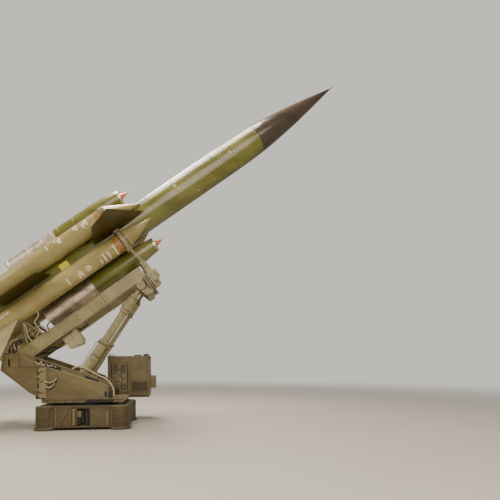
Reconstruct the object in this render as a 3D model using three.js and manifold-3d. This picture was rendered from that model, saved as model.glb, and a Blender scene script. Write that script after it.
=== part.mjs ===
// Ramjet missile with four wrap-round boosters, standing elevated on its ground launcher.
// Units are millimetres, +Z is up, +X is the way the missile points and +Y is its left side.
// The origin is on the floor, on the turntable's axis.

import * as THREE from 'three';
import Module from 'manifold-3d';
import { mergeVertices } from 'three/addons/utils/BufferGeometryUtils.js';

const wasm = await Module();
wasm.setup();

// Driving dimensions: launcher
const GAP = 0.3;                    // gap between neighbouring pieces that touch
const RUNNING = 0.8;                // radial gap of pins and rods in their bores
const ELEVATION = 37;               // degrees of the launching beams above level
const PIVOT = [-1200, 1110];        // X, Z of the trunnions
const FOOT = [-160, 760];           // X, Z of the strut feet
const HEAD_PIN = [2545, -177];      // strut head pin, along and above the beams
const BASE_TOP = 400;
const DECK_LOW = 440;
const DECK_TOP = 510;
const CHEEK_IN = 440;
const CHEEK_OUT = 500;
const BEAM_IN = 295;
const BEAM_OUT = 405;
const BEAM_HALF = 108;
const BEAM_FRONT = 2650;
const STRUT_Y = 330;
const PIN_R = 30;
const TRUNNION_R = 60;
const DRUM_REAR = 2656;             // ribbed drums at the beams' front ends
const DRUM_R = 157;
const DRUM_Z = -208;
const BLOCK_FRONT = 2868;           // blocks that carry the front support arms
const BLOCK_LOW = 120;
const SLEEVE = 1880;                // where each beam's sleeved front half starts
const POST_X = [-845, -680];        // hinge post on each cheek
const SHELF_Z = 1045;               // welded shelf line across each cheek, over the post
const CABINET_X = [220, 1020];
const CABINET_Y = [665, 1225];
const CABINET_Z = [475, 1255];
const PANEL = 12;                   // how far welded strips and bars stand out

// Driving dimensions: missile, stations measured aft from the nose
const NOSE_X = 8030;                // nose tip along the beams from the trunnions
const AXIS_Z = 885;                 // missile axis above the trunnions
const BODY_R = 273;
const BODY_END = 7670;
const RAMJET_N = 525;               // ramjet axes above and below the missile axis
const RAMJET_R = 170;
const BOOSTER_Y = 380;
const BOOSTER_N = 255;
const BOOSTER_R = 160;
const RING_R = 180;
const STRAP_R = 163.5;              // rear strap round each booster

const group = new THREE.Group();
group.name = 'missile_on_launcher';

// Colours by slot
const PAINT = {
  olive: 0x7d7b3e, dark_green: 0x3c3a1c, radome: 0x4c4a46, steel: 0x9b9388, copper: 0xb06a3c,
  booster: 0x9a8f66, launcher: 0x8b8462, dark: 0x2e2c26, chrome: 0xcfcfca, bare: 0xb9b3a4,
};

// Solid modelling helpers
function tidy(geometry) {
  const bare = new THREE.BufferGeometry();
  bare.setAttribute('position', geometry.getAttribute('position').clone());
  if (geometry.index) bare.setIndex(geometry.index.clone());
  const merged = mergeVertices(bare, 1e-4);
  const p = merged.getAttribute('position').array;
  const source = merged.index.array;
  const kept = [];
  let volume = 0;
  for (let i = 0; i < source.length; i += 3) {
    const [a, b, c] = [source[i], source[i + 1], source[i + 2]];
    if (a === b || b === c || a === c) continue;
    kept.push(a, b, c);
    const [ax, ay, az] = [p[3 * a], p[3 * a + 1], p[3 * a + 2]];
    const [bx, by, bz] = [p[3 * b], p[3 * b + 1], p[3 * b + 2]];
    const [cx, cy, cz] = [p[3 * c], p[3 * c + 1], p[3 * c + 2]];
    volume += ax * (by * cz - bz * cy) + ay * (bz * cx - bx * cz) + az * (bx * cy - by * cx);
  }
  if (volume < 0) {
    for (let i = 0; i < kept.length; i += 3) {
      const swap = kept[i];
      kept[i] = kept[i + 1];
      kept[i + 1] = swap;
    }
  }
  merged.setIndex(kept);
  return merged;
}

function toManifold(geometry) {
  const g = tidy(geometry);
  return new wasm.Manifold(new wasm.Mesh({
    numProp: 3,
    vertProperties: new Float32Array(g.getAttribute('position').array),
    triVerts: new Uint32Array(g.index.array),
  }));
}

function fromManifold(manifold) {
  const mesh = manifold.getMesh();
  const g = new THREE.BufferGeometry();
  g.setAttribute('position', new THREE.BufferAttribute(new Float32Array(mesh.vertProperties), 3));
  g.setIndex(Array.from(mesh.triVerts));
  return g;
}

function join(...parts) {
  let whole = toManifold(parts[0]);
  for (const part of parts.slice(1)) whole = whole.add(toManifold(part));
  return fromManifold(whole);
}

function cut(body, ...tools) {
  let rest = toManifold(body);
  for (const tool of tools) rest = rest.subtract(toManifold(tool));
  return fromManifold(rest);
}

// Basic shapes
function box(x0, x1, y0, y1, z0, z1) {
  const g = new THREE.BoxGeometry(Math.abs(x1 - x0), Math.abs(y1 - y0), Math.abs(z1 - z0));
  return g.translate((x0 + x1) / 2, (y0 + y1) / 2, (z0 + z1) / 2);
}

// Turned shape about the X axis from [x, radius] points that start and end on the axis
function turned(points, segments, y = 0, z = 0) {
  const g = new THREE.LatheGeometry(points.map(([x, r]) => new THREE.Vector2(r, x)), segments);
  g.rotateZ(-Math.PI / 2);
  return g.translate(0, y, z);
}

// Round bar between two points
function bar(from, to, r, segments = 16, rTo = r) {
  const a = new THREE.Vector3(...from);
  const b = new THREE.Vector3(...to);
  const g = new THREE.CylinderGeometry(rTo, r, a.distanceTo(b), segments);
  const turn = new THREE.Quaternion().setFromUnitVectors(
    new THREE.Vector3(0, 1, 0),
    b.clone().sub(a).normalize(),
  );
  g.applyQuaternion(turn);
  return g.translate((a.x + b.x) / 2, (a.y + b.y) / 2, (a.z + b.z) / 2);
}

// Radius of a faceted tool that stays one gap clear of a round of radius r
const clear = (r, segments) => (r + GAP) / Math.cos(Math.PI / segments);

// Flat plate of an outline in X and Z, from y0 to y1
function plate(outline, y0, y1) {
  const shape = new THREE.Shape(outline.map(([x, z]) => new THREE.Vector2(x, z)));
  const g = new THREE.ExtrudeGeometry(shape, { depth: Math.abs(y1 - y0), bevelEnabled: false });
  g.rotateX(Math.PI / 2);
  return g.translate(0, Math.max(y0, y1), 0);
}

// Round hose along a curve
function hose(points, r, steps) {
  const path = new THREE.CatmullRomCurve3(points.map((p) => new THREE.Vector3(...p)));
  const ring = new THREE.Shape();
  ring.absarc(0, 0, r, 0, Math.PI * 2);
  return new THREE.ExtrudeGeometry(ring, { steps, extrudePath: path, curveSegments: 2 });
}

// Thin surface with bevelled edges: outline of [station, span], edge inset and half thickness
function blade(outline, inset, halfRoot, halfTip) {
  const n = outline.length;
  const cx = outline.reduce((s, p) => s + p[0], 0) / n;
  const cy = outline.reduce((s, p) => s + p[1], 0) / n;
  const spans = outline.map((p) => p[1]);
  const low = Math.min(...spans);
  const high = Math.max(...spans);
  const points = [];
  for (const [x, y] of outline) points.push([x, y, 0]);
  for (const side of [1, -1]) {
    for (const [x, y] of outline) {
      const dx = cx - x;
      const dy = cy - y;
      const k = inset / Math.hypot(dx, dy);
      const half = halfRoot + (halfTip - halfRoot) * (y - low) / (high - low);
      points.push([x + dx * k, y > low ? y + dy * k * 0.4 : y, side * half]);
    }
  }
  const faces = [];
  for (let i = 0; i < n; i += 1) {
    const j = (i + 1) % n;
    faces.push([i, j, n + j], [i, n + j, n + i]);
    faces.push([j, i, 2 * n + i], [j, 2 * n + i, 2 * n + j]);
  }
  for (let i = 1; i < n - 1; i += 1) {
    faces.push([n, n + i, n + i + 1], [2 * n, 2 * n + i + 1, 2 * n + i]);
  }
  const g = new THREE.BufferGeometry();
  g.setAttribute('position', new THREE.Float32BufferAttribute(points.flat(), 3));
  g.setIndex(faces.flat());
  return g;
}

// Frames: launcher beams (x along, z above the trunnions) and struts
const tilt = THREE.MathUtils.degToRad(ELEVATION);
const raise = new THREE.Matrix4()
  .makeTranslation(PIVOT[0], 0, PIVOT[1])
  .multiply(new THREE.Matrix4().makeRotationY(-tilt));
const headX = PIVOT[0] + HEAD_PIN[0] * Math.cos(tilt) - HEAD_PIN[1] * Math.sin(tilt);
const headZ = PIVOT[1] + HEAD_PIN[0] * Math.sin(tilt) + HEAD_PIN[1] * Math.cos(tilt);
const strutLength = Math.hypot(headX - FOOT[0], headZ - FOOT[1]);
const strutAngle = Math.atan2(headZ - FOOT[1], headX - FOOT[0]);
const lean = new THREE.Matrix4()
  .makeTranslation(FOOT[0], 0, FOOT[1])
  .multiply(new THREE.Matrix4().makeRotationY(-strutAngle));

function add(name, geometry, colour, frame = null) {
  const g = tidy(geometry);
  if (frame) g.applyMatrix4(frame);
  const flat = g.toNonIndexed();
  flat.computeVertexNormals();
  const material = new THREE.MeshStandardMaterial({ color: PAINT[colour], roughness: 0.6, name });
  const mesh = new THREE.Mesh(flat, material);
  mesh.name = name;
  group.add(mesh);
}

const at = (station) => NOSE_X - station;
const missileLathe = (points, segments) =>
  turned(points.map(([s, r]) => [at(s), r]), segments, 0, AXIS_Z);

// Fuselage
add('nose_probe', missileLathe([[0, 0], [2, 4], [110, 8], [180, 18], [180, 0]], 16), 'bare', raise);
add('radome', missileLathe([
  [180 + GAP, 0], [180 + GAP, 19], [300, 36], [560, 80], [870, 130], [1180, 175], [1500, 213],
  [1780, 241], [2020, 258], [2020, 0],
], 32), 'radome', raise);
add('forebody', missileLathe([
  [2020 + GAP, 0], [2020 + GAP, 259], [2300, 268], [2630, BODY_R], [2630, 0],
], 32), 'olive', raise);
add('midbody', missileLathe([
  [2630 + GAP, 0], [2630 + GAP, BODY_R], [6960, BODY_R], [6960, 0],
], 32), 'olive', raise);
add('tailbody', missileLathe([
  [6960 + GAP, 0], [6960 + GAP, BODY_R], [7180, BODY_R], [BODY_END, 232], [BODY_END, 205],
  [7560, 195], [7560, 0],
], 32), 'olive', raise);

// Wings, each turning on its own spigot, and fixed tailplanes
const WING = [[4640, 282], [5240, 1400], [5590, 1110], [5710, 282]];
const TAIL_ROOT = BODY_R + GAP;
const TAILPLANE = [[6610, TAIL_ROOT], [6750, 830], [7560, 830], [7560, TAIL_ROOT]];
const WING_AXIS = 5240;
const sides = [
  { name: 'right', way: -1 },
  { name: 'left', way: 1 },
];
for (const { name, way } of sides) {
  const panel = blade(WING, 120, 24, 9);
  const wing = panel.clone();
  wing.applyMatrix4(new THREE.Matrix4().makeScale(-1, way, 1).setPosition(NOSE_X, 0, AXIS_Z));
  const root = way * (WING[0][1] + 3);
  const spigot = bar([at(WING_AXIS), way * (BODY_R + GAP), AXIS_Z], [at(WING_AXIS), root, AXIS_Z], 22, 12);
  add(`wing_${name}`, join(wing, spigot), 'dark_green', raise);
  const tail = blade(TAILPLANE, 60, 12, 8);
  tail.applyMatrix4(new THREE.Matrix4().makeScale(-1, way, 1).setPosition(NOSE_X, 0, AXIS_Z));
  add(`tailplane_${name}`, tail, 'dark_green', raise);
}

// Ramjets above and below
const ramjets = [
  { name: 'upper', way: 1 },
  { name: 'lower', way: -1 },
];
for (const { name, way } of ramjets) {
  const z = AXIS_Z + way * RAMJET_N;
  const about = (points, n) => turned(points.map(([s, r]) => [at(s), r]), n, 0, z);
  add(`ramjet_cowl_${name}`, about([
    [5060, 0], [5060, 108], [4802, 119], [4798, 125], [5000, 149], [5350, RAMJET_R],
    [6155, RAMJET_R], [6155, 0],
  ], 28), 'olive', raise);
  add(`ramjet_pipe_${name}`, about([
    [6155 + GAP, 0], [6155 + GAP, 166], [7105, 166], [7110, 172], [7150, 172], [7150, 156],
    [6800, 146], [6800, 0],
  ], 28), 'steel', raise);
  add(`ramjet_spike_${name}`, about([
    [4500, 0], [4502, 3], [4640, 9], [4720, 34], [4850, 72], [5060 - GAP, 82], [5060 - GAP, 0],
  ], 20), 'copper', raise);
  const low = AXIS_Z + way * (BODY_R + 0.4);
  const high = AXIS_Z + way * (RAMJET_N - RAMJET_R - 0.4);
  add(`ramjet_pylon_${name}`, plate([
    [at(5330), high], [at(6960), high], [at(6960), low], [at(5130), low],
  ], -24, 24), 'olive', raise);
}

// Four boosters, each with a skewed nose fairing and one large fin
const boosters = [
  { name: 'upper_right', y: -1, n: 1 },
  { name: 'lower_right', y: -1, n: -1 },
  { name: 'upper_left', y: 1, n: 1 },
  { name: 'lower_left', y: 1, n: -1 },
];
const reach = Math.hypot(BOOSTER_Y, BOOSTER_N);
const fairingInner = reach - BOOSTER_R - BODY_R;

// Skewed cone from a small ring on the fuselage to the booster's full ring
function fairing(y, n) {
  const rings = [
    { s: 4610, d: BODY_R + 10, r: 7 },
    { s: 4900, d: BODY_R + 8 + 94, r: 88 },
    { s: 5200 - GAP, d: BODY_R + fairingInner + BOOSTER_R, r: BOOSTER_R },
  ];
  const count = 20;
  const points = [];
  for (const { s, d, r } of rings) {
    for (let i = 0; i < count; i += 1) {
      const a = 2 * Math.PI * i / count;
      points.push([
        at(s),
        y * BOOSTER_Y / reach * d + r * Math.cos(a),
        AXIS_Z + n * BOOSTER_N / reach * d + r * Math.sin(a),
      ]);
    }
  }
  const faces = [];
  for (let k = 0; k < rings.length - 1; k += 1) {
    for (let i = 0; i < count; i += 1) {
      const j = (i + 1) % count;
      const a = k * count;
      const b = a + count;
      faces.push([a + i, a + j, b + j], [a + i, b + j, b + i]);
    }
  }
  const last = (rings.length - 1) * count;
  for (let i = 1; i < count - 1; i += 1) {
    faces.push([0, i + 1, i], [last, last + i, last + i + 1]);
  }
  const g = new THREE.BufferGeometry();
  g.setAttribute('position', new THREE.Float32BufferAttribute(points.flat(), 3));
  g.setIndex(faces.flat());
  return g;
}

const FIN_ROOT = BOOSTER_R * Math.cos(Math.PI / 28) + GAP;
const FIN = [[7480, FIN_ROOT], [8020, 850], [8440, 850], [8440, FIN_ROOT]];
for (const { name, y, n } of boosters) {
  const cy = y * BOOSTER_Y;
  const cz = AXIS_Z + n * BOOSTER_N;
  const pads = [[5215, 5315], [6990, 7070]].map(([front, rear]) => {
    const pad = box(at(rear), at(front), BODY_R + GAP, reach - BOOSTER_R + 30, -45, 45);
    return pad.rotateX(Math.atan2(n * BOOSTER_N, y * BOOSTER_Y)).translate(0, 0, AXIS_Z);
  });
  add(`booster_case_${name}`, join(turned([
    [5200, 0], [5200, 172], [5215, RING_R], [5315, RING_R], [5330, 166], [5342, BOOSTER_R],
    [6990, BOOSTER_R], [6990, STRAP_R], [7070, STRAP_R], [7070, BOOSTER_R],
    [8440, BOOSTER_R], [8452, 120], [8452, 0],
  ].map(([s, r]) => [at(s), r]), 28, cy, cz), ...pads), 'booster', raise);
  add(`booster_nozzle_${name}`, turned([
    [8452 + GAP, 0], [8452 + GAP, 74], [8560, 108], [8560, 98], [8480, 60], [8480, 0],
  ].map(([s, r]) => [at(s), r]), 20, cy, cz), 'dark', raise);
  add(`booster_nose_${name}`, fairing(y, n), 'booster', raise);
  const fin = blade(FIN, 70, 14, 8);
  fin.applyMatrix4(new THREE.Matrix4().makeScale(-1, 1, 1));
  fin.rotateX(Math.atan2(n, y));
  fin.translate(NOSE_X, cy, cz);
  add(`booster_fin_${name}`, fin, 'olive', raise);
}

// Launching beams with rounded rear eyes, a sleeve collar and welded clips
const clips = [[420, 55], [620, -60], [950, 60], [1280, -20], [1580, 50], [1700, -70]];
for (const { name, way } of sides) {
  const y0 = way * BEAM_IN;
  const y1 = way * BEAM_OUT;
  const eye = bar([0, y0, 0], [0, y1, 0], BEAM_HALF, 24);
  const web = box(0, BEAM_FRONT, y0, y1, -BEAM_HALF, BEAM_HALF);
  const bore = bar([0, way * 200, 0], [0, way * 450, 0], TRUNNION_R + GAP, 24);
  const collar = box(SLEEVE, SLEEVE + 30, y0 - way * 8, y1 + way * 10, -BEAM_HALF - 8, BEAM_HALF + 8);
  const plates = clips.map(([x, z]) => box(x, x + 50, y1 - way * 2, y1 + way * PANEL, z, z + 30));
  add(`beam_${name}`, cut(join(web, eye, collar, ...plates), bore), 'launcher', raise);
}

// Trunnion tube through both beams and cheeks
add('trunnion_tube', join(
  bar([0, 3 - CHEEK_OUT, 0], [0, CHEEK_OUT - 3, 0], TRUNNION_R, 24),
  bar([0, -BEAM_IN + GAP, 0], [0, BEAM_IN - GAP, 0], 84, 24),
), 'launcher', raise);

// Tie between the beams at mid length, and the crosshead at their front ends
add('beam_tie', box(1180, 1330, -BEAM_IN + GAP, BEAM_IN - GAP, -70, 70), 'launcher', raise);

// One side of the crosshead: fork for the strut, boss, ribbed drum and toothed tip
function headSide(way) {
  const fork = [
    [2462, -BEAM_HALF - GAP], [BEAM_FRONT + GAP, -BEAM_HALF - GAP], [BEAM_FRONT + GAP, -50],
    [2708, -50], [2708, -250], [2655, -392], [2529, -392], [2500, -300],
  ];
  const tip = [
    [2755, -BLOCK_LOW - GAP], [BLOCK_FRONT + GAP, -BLOCK_LOW - GAP], [BLOCK_FRONT + GAP, -67],
    [2925, -67], [2925, -205], [2880, -250], [2800, -250], [2755, -205],
  ];
  const across = (y0, y1, r) => bar(
    [HEAD_PIN[0], way * y0, HEAD_PIN[1]], [HEAD_PIN[0], way * y1, HEAD_PIN[1]], r, 24,
  );
  return join(
    box(BEAM_FRONT + GAP, 2710, way * BEAM_IN, way * BEAM_OUT, -BEAM_HALF, 99),
    plate(fork, way * (STRUT_Y - 76), way * (STRUT_Y - 46)),
    plate(fork, way * (STRUT_Y + 46), way * (STRUT_Y + 76)),
    across(STRUT_Y + 76, STRUT_Y + 100, 66),
    turned([
      [DRUM_REAR, 0], [DRUM_REAR, DRUM_R], [2682, DRUM_R], [2690, 144], [2700, DRUM_R],
      [2716, DRUM_R], [2726, 144], [2738, DRUM_R], [2765, DRUM_R], [2765, 0],
    ], 20, way * 350, DRUM_Z),
    plate(tip, way * 318, way * 340),
    plate(tip, way * 384, way * 406),
    turned([[2755, 0], [2755, 36], [2870, 36], [2870, 76], [2925, 76], [2925, 0]], 8, way * 362, -158),
  );
}
const centreLug = [
  [2470, -110], [2720, -110], [2720, -300], [2640, -330], [2480, -260],
];
add('crosshead', join(
  headSide(-1),
  headSide(1),
  bar([2712, -300, DRUM_Z], [2712, 300, DRUM_Z], 54, 16),
  box(2530, 2654, -260, 260, -392, -347),
  plate(centreLug, -76, -46),
  plate(centreLug, 46, 76),
), 'launcher', raise);

// Front support arms: block on the crosshead, slim leg, saddle under the lower booster's ring and
// a clamp round its outer side that ends in a pin
const CLAMP_R = RING_R + 22;
const CLAMP_PIN = THREE.MathUtils.degToRad(68);
for (const { name, way } of sides) {
  const y = way * 362;
  const ringY = way * BOOSTER_Y;
  const ringZ = AXIS_Z - BOOSTER_N;
  const saddle = cut(
    box(at(5315), at(5215), ringY - 95, ringY + 95, ringZ - RING_R - 34, ringZ - RING_R + 34),
    bar([at(5400), ringY, ringZ], [at(5100), ringY, ringZ], clear(RING_R, 32), 32),
  );
  const band = cut(
    bar([at(5295), ringY, ringZ], [at(5235), ringY, ringZ], CLAMP_R, 32),
    bar([at(5400), ringY, ringZ], [at(5100), ringY, ringZ], clear(RING_R, 32), 32),
    box(at(5400), at(5100), ringY, ringY - way * 300, ringZ - 150, ringZ + 300),
    box(at(5400), at(5100), ringY - way * 300, ringY + way * 300, ringZ + 176, ringZ + 300),
  );
  const pinY = ringY + way * 205 * Math.cos(CLAMP_PIN);
  const pinZ = ringZ + 205 * Math.sin(CLAMP_PIN);
  add(`support_arm_${name}`, join(
    band,
    bar([at(5317), pinY, pinZ], [at(5213), pinY, pinZ], 21, 12),
    box(2765 + GAP, BLOCK_FRONT, y - 50, y + 50, -BLOCK_LOW, 158),
    bar([2817, y, 150], [2777, ringY, ringZ - RING_R - 20], 20, 12),
    saddle,
  ), 'launcher', raise);
}

// Rear cradle: tubular trestle from the beams to the lower boosters, with a bent pipe at each side
const bentPipe = [[545, 452], [500, 280], [700, 390], [680, 118]];
function trestle(way) {
  const y = way * 350;
  const py = way * BOOSTER_Y;
  const pz = AXIS_Z - BOOSTER_N;
  const pad = cut(
    box(500, 620, py - 90, py + 90, pz - BOOSTER_R - 30, pz - BOOSTER_R + 26),
    bar([400, py, pz], [700, py, pz], clear(BOOSTER_R, 32), 32),
  );
  return join(
    box(330, 760, y - 45, y + 45, BEAM_HALF + GAP, BEAM_HALF + 26),
    bar([700, y, 118], [575, y, 450], 24, 8),
    bar([380, y, 118], [545, y, 450], 40, 12),
    bar([560, y, 118], [560, y, 300], 16, 8),
    bar([430, y, 220], [660, y, 220], 16, 8),
    ...bentPipe.slice(1).map(([x, z], i) => bar([...bentPipe[i].slice(0, 1), way * 310, bentPipe[i][1]],
      [x, way * 310, z], 12, 8)),
    pad,
  );
}
add('rear_cradle', cut(
  join(
    trestle(-1),
    trestle(1),
    bar([640, -350, 150], [640, 350, 150], 26, 10),
    bar([400, -350, 160], [400, 350, 160], 34, 12),
  ),
  box(200, 900, -500, 500, 0, BEAM_HALF + GAP),
), 'launcher', raise);

// Junction box under the tie
const glands = [[-190, -200], [-130, -200]];
add('junction_box', join(
  plate([
    [880, -120], [1180 - GAP, -40], [1180 - GAP, -330], [1120, -400], [880, -340],
  ], -236, -84),
  plate([[900, -145], [1160, -75], [1160, -320], [1110, -378], [900, -325]], -242, -234),
  ...glands.map(([y, z]) => bar([770, y, z], [882, y, z], 22, 12)),
), 'launcher', raise);

// Cables from the glands back to the trunnion tube
const cableRoutes = [
  [[740, -190, -200], [640, -200, -130], [500, -220, -130], [340, -245, -40], [200, -256, 0], [84.6, -256, 0]],
  [[740, -130, -200], [660, -145, -180], [550, -170, -170], [360, -205, -70], [200, -215, 0], [84.6, -215, 0]],
];
cableRoutes.forEach((route, i) => {
  const [y, z] = glands[i];
  add(`cable_${i + 1}`, hose([[770 - GAP, y, z], ...route], 13, 20), 'dark', raise);
});

// Telescopic struts: barrel on the turntable, ram reaching into the crosshead's forks
const RAM_START = 612;
const ROD_R = 65;
for (const { name, way } of sides) {
  const y = way * STRUT_Y;
  const outer = turned([
    [60, 0], [60, 38], [112, 38], [125, 88], [570, 88], [580, 80], [836, 80], [840, 94],
    [890, 94], [890, 0],
  ], 24, y);
  const eye = bar([0, y - 34, 0], [0, y + 34, 0], 72, 20);
  const bore = turned([[128, 0], [128, ROD_R + RUNNING], [1000, ROD_R + RUNNING], [1000, 0]], 24, y);
  const hole = bar([0, y - 60, 0], [0, y + 60, 0], PIN_R + RUNNING, 16);
  add(`strut_${name}_barrel`, cut(join(outer, eye), bore, hole), 'launcher', lean);
  add(`strut_${name}_ram`, join(
    turned([
      [RAM_START, 0], [RAM_START, ROD_R], [1160, ROD_R], [1164, ROD_R - 6], [1184, ROD_R - 6],
      [1188, ROD_R], [1488, ROD_R], [1494, 88], [1535, 88], [1540, 81],
      [1800, 81], [1837, 60], [1890, 38], [strutLength - 30, 38], [strutLength - 30, 0],
    ], 24, y),
    bar([strutLength, y - 36, 0], [strutLength, y + 36, 0], 60, 20),
  ), 'launcher', lean);
}

// Elevating jack between the struts
add('jack_barrel', cut(
  join(
    turned([[50, 0], [50, 32], [108, 32], [118, 64], [740, 64], [745, 74], [800, 74], [800, 0]], 20),
    bar([0, -30, 0], [0, 30, 0], 62, 20),
  ),
  turned([[124, 0], [124, 40 + RUNNING], [900, 40 + RUNNING], [900, 0]], 20),
  bar([0, -60, 0], [0, 60, 0], PIN_R + RUNNING, 16),
), 'launcher', lean);
add('jack_ram', join(
  turned([[RAM_START, 0], [RAM_START, 40], [strutLength - 30, 40], [strutLength - 30, 0]], 20),
  bar([strutLength, -38, 0], [strutLength, 38, 0], 58, 20),
), 'chrome', lean);

// Turntable: deck with strut lugs, two cheeks and the equipment cabinet with its chassis
const footPlate = (y0, y1) => plate([
  [-290, DECK_TOP - 2], [-40, DECK_TOP - 2], [-95, 800], [-125, 832], [-195, 832], [-225, 800],
], y0, y1);
const lugs = [];
for (const y of [-STRUT_Y, 0, STRUT_Y]) {
  lugs.push(footPlate(y - 72, y - 42), footPlate(y + 42, y + 72));
  lugs.push(bar([FOOT[0], y - 78, FOOT[1]], [FOOT[0], y + 78, FOOT[1]], PIN_R, 16));
}
add('turntable_deck', join(
  box(-700, 640, -CHEEK_OUT, CHEEK_OUT, DECK_LOW, DECK_TOP),
  ...lugs,
  box(-680, -640, -CHEEK_IN + 5, CHEEK_IN - 5, DECK_TOP - 2, 700),
  box(300, 340, -CHEEK_IN + 5, CHEEK_IN - 5, DECK_TOP - 2, 690),
  ...[-1, 1].flatMap((way) => [
    box(-700, 640, way * (CHEEK_OUT - 2), way * (CHEEK_OUT + PANEL), DECK_TOP - 14, DECK_TOP),
    ...[-620, -470, -320, -170, -20, 130, 430].map(
      (x) => box(x - 4, x + 4, way * (CHEEK_OUT - 2), way * (CHEEK_OUT + PANEL), DECK_LOW, DECK_TOP - 10),
    ),
  ]),
), 'launcher');
const CHEEK = [
  [-1350, 1000], [-1300, 1290], [-930, 1268], [390, 790], [390, DECK_TOP + GAP],
  [-650, DECK_TOP + GAP], [-700, 520], [-890, 620],
];
const topFlange = [[-925, 1250], [-920, 1269], [396, 792], [396, 530], [380, 530], [380, 779]];
const lowFlange = [[-700, 521], [-890, 621], [-1349, 1001], [-1334, 1010], [-884, 636], [-700, 540]];
const lockPlate = [[-1302, SHELF_Z + 8], [-1060, SHELF_Z + 8], [-1060, 1262], [-1290, 1268]];
const slot = [[-1226, 1066], [-1184, 1066], [-1184, 1186], [-1226, 1186]];
const traySlope = Math.atan2(790 - 1268, 390 + 930);
const DOOR_SWEEP = [240, 375];      // the left cheek's flange stops here, clear of the cabinet's rear door
const lashing = [[-600, 505, 835], [-600, 558, 790], [-520, 562, 762], [-440, 558, 795], [-425, 505, 870]];
for (const { name, way } of sides) {
  const out = way * CHEEK_OUT;
  const inOut = (points, from, to) => plate(points, out + way * from, out + way * to);
  const post = box(POST_X[0], POST_X[1], out - way * 5, out + way * 26, 545, 1040);
  const knuckles = [580, 635, 770, 825, 950].map(
    (z) => bar([POST_X[0] - 5, out + way * 18, z], [POST_X[0] - 5, out + way * 18, z + 50], 13, 10),
  );
  const tray = box(-140, 140, way * 432, way * 492, -3, 26)
    .rotateY(-traySlope)
    .translate(70, 0, 1268 + (70 + 930) * Math.tan(traySlope));
  const handle = lashing.slice(1).map(([x, y, z], i) => bar(
    [lashing[i][0], way * lashing[i][1], lashing[i][2]], [x, way * y, z], 10, 8,
  ));
  const bore = bar([PIVOT[0], way * 400, PIVOT[1]], [PIVOT[0], way * CHEEK_OUT, PIVOT[1]], TRUNNION_R + 0.9, 24);
  const socket = box(-262, -218, way * (CHEEK_IN - 44), way * (CHEEK_IN + 5), 915, 950);
  add(`cheek_${name}`, cut(
    join(
      plate(CHEEK, way * CHEEK_IN, out), post, socket, tray, ...knuckles, ...handle,
      inOut(topFlange, -5, 14), inOut(lowFlange, -5, 14), inOut(lockPlate, -5, PANEL + 6),
      box(-1330, -600, out - way * 5, out + way * PANEL, SHELF_Z, SHELF_Z + 10),
      box(-610, -450, out - way * 5, out + way * 16, 800, 840),
    ),
    bore,
    inOut(slot, 1, 40),
    ...(way > 0 ? [box(DOOR_SWEEP[0], DOOR_SWEEP[1], CHEEK_OUT + 1, CHEEK_OUT + 40, 560, 1110)] : []),
  ), 'launcher');
}
add('cabinet_frame', join(
  box(250, 330, CHEEK_OUT + GAP, 1225, DECK_LOW, 475 - GAP),
  box(540, 620, CHEEK_OUT + GAP, 1225, DECK_LOW, 475 - GAP),
  box(220, 1020, 690, 760, DECK_LOW, 475 - GAP),
  box(220, 1020, 1130, 1200, DECK_LOW, 475 - GAP),
), 'dark');
const [cabRear, cabFront] = CABINET_X;
const [cabNear, cabFar] = CABINET_Y;
const [cabLow, cabTop] = CABINET_Z;
const rims = [cabLow, cabTop - 24].map((z) => box(cabRear - 6, cabFront + 6, cabNear - 6, cabFar + 6, z, z + 30));
const frameBars = [[262, 278, 533, 1127], [609, 625, 533, 1127], [278, 609, 1111, 1127], [278, 609, 533, 554]];
const louvres = [0, 1, 2, 3, 4, 5, 6].map((i) => [680, 980, 578 + 24 * i, 588 + 24 * i]);
const louvreFrame = [[660, 675, 555, 755], [985, 1000, 555, 755], [675, 985, 555, 568], [675, 985, 742, 755]];
const nearFace = (bars, proud) => bars.map(([x0, x1, z0, z1]) => box(x0, x1, cabNear - proud, cabNear + 5, z0, z1));
add('cabinet', join(
  box(cabRear, cabFront, cabNear, cabFar, cabLow, cabTop),
  ...rims,
  ...nearFace(frameBars, PANEL),
  ...nearFace(louvreFrame, PANEL),
  ...nearFace(louvres, 8),
  box(cabFront - 5, cabFront + PANEL, cabNear + 50, cabFar - 50, 560, 1000),
  box(cabFront - 5, cabFront + 60, 800, 1100, 505, 820),
  box(720, 860, 720, 900, cabTop - 5, cabTop + 35),
  box(900, 1000, 700, 780, cabTop - 5, cabTop + 50),
), 'launcher');
const DOORS = [
  { name: 'rear', x: 299, handle: 424 },
  { name: 'front', x: 446, handle: 455 },
];
for (const { name, x, handle } of DOORS) {
  add(`cabinet_door_${name}`, join(
    box(x, x + 142, 654, cabNear - GAP, 560, 1105),
    ...[[x, x + 20], [x + 122, x + 142]].map(([x0, x1]) => box(x0, x1, 650, 655, 560, 1105)),
    ...[560, 822, 1085].map((z) => box(x, x + 142, 650, 655, z, z + 20)),
    box(handle, handle + 10, 632, 655, 750, 834),
  ), 'launcher');
}

// Hose arching over the right cheek
add('hose', hose([
  [-240, -418, 950 + GAP], [-240, -418, 975], [-185, -420, 1042], [-70, -440, 1062], [80, -458, 990],
  [230, -464, 905], [345, -466, 850], [430, -466, 760], [475, -466, 650], [480, -466, 560],
  [480, -466, DECK_TOP + GAP],
], 13, 28), 'bare');

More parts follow.
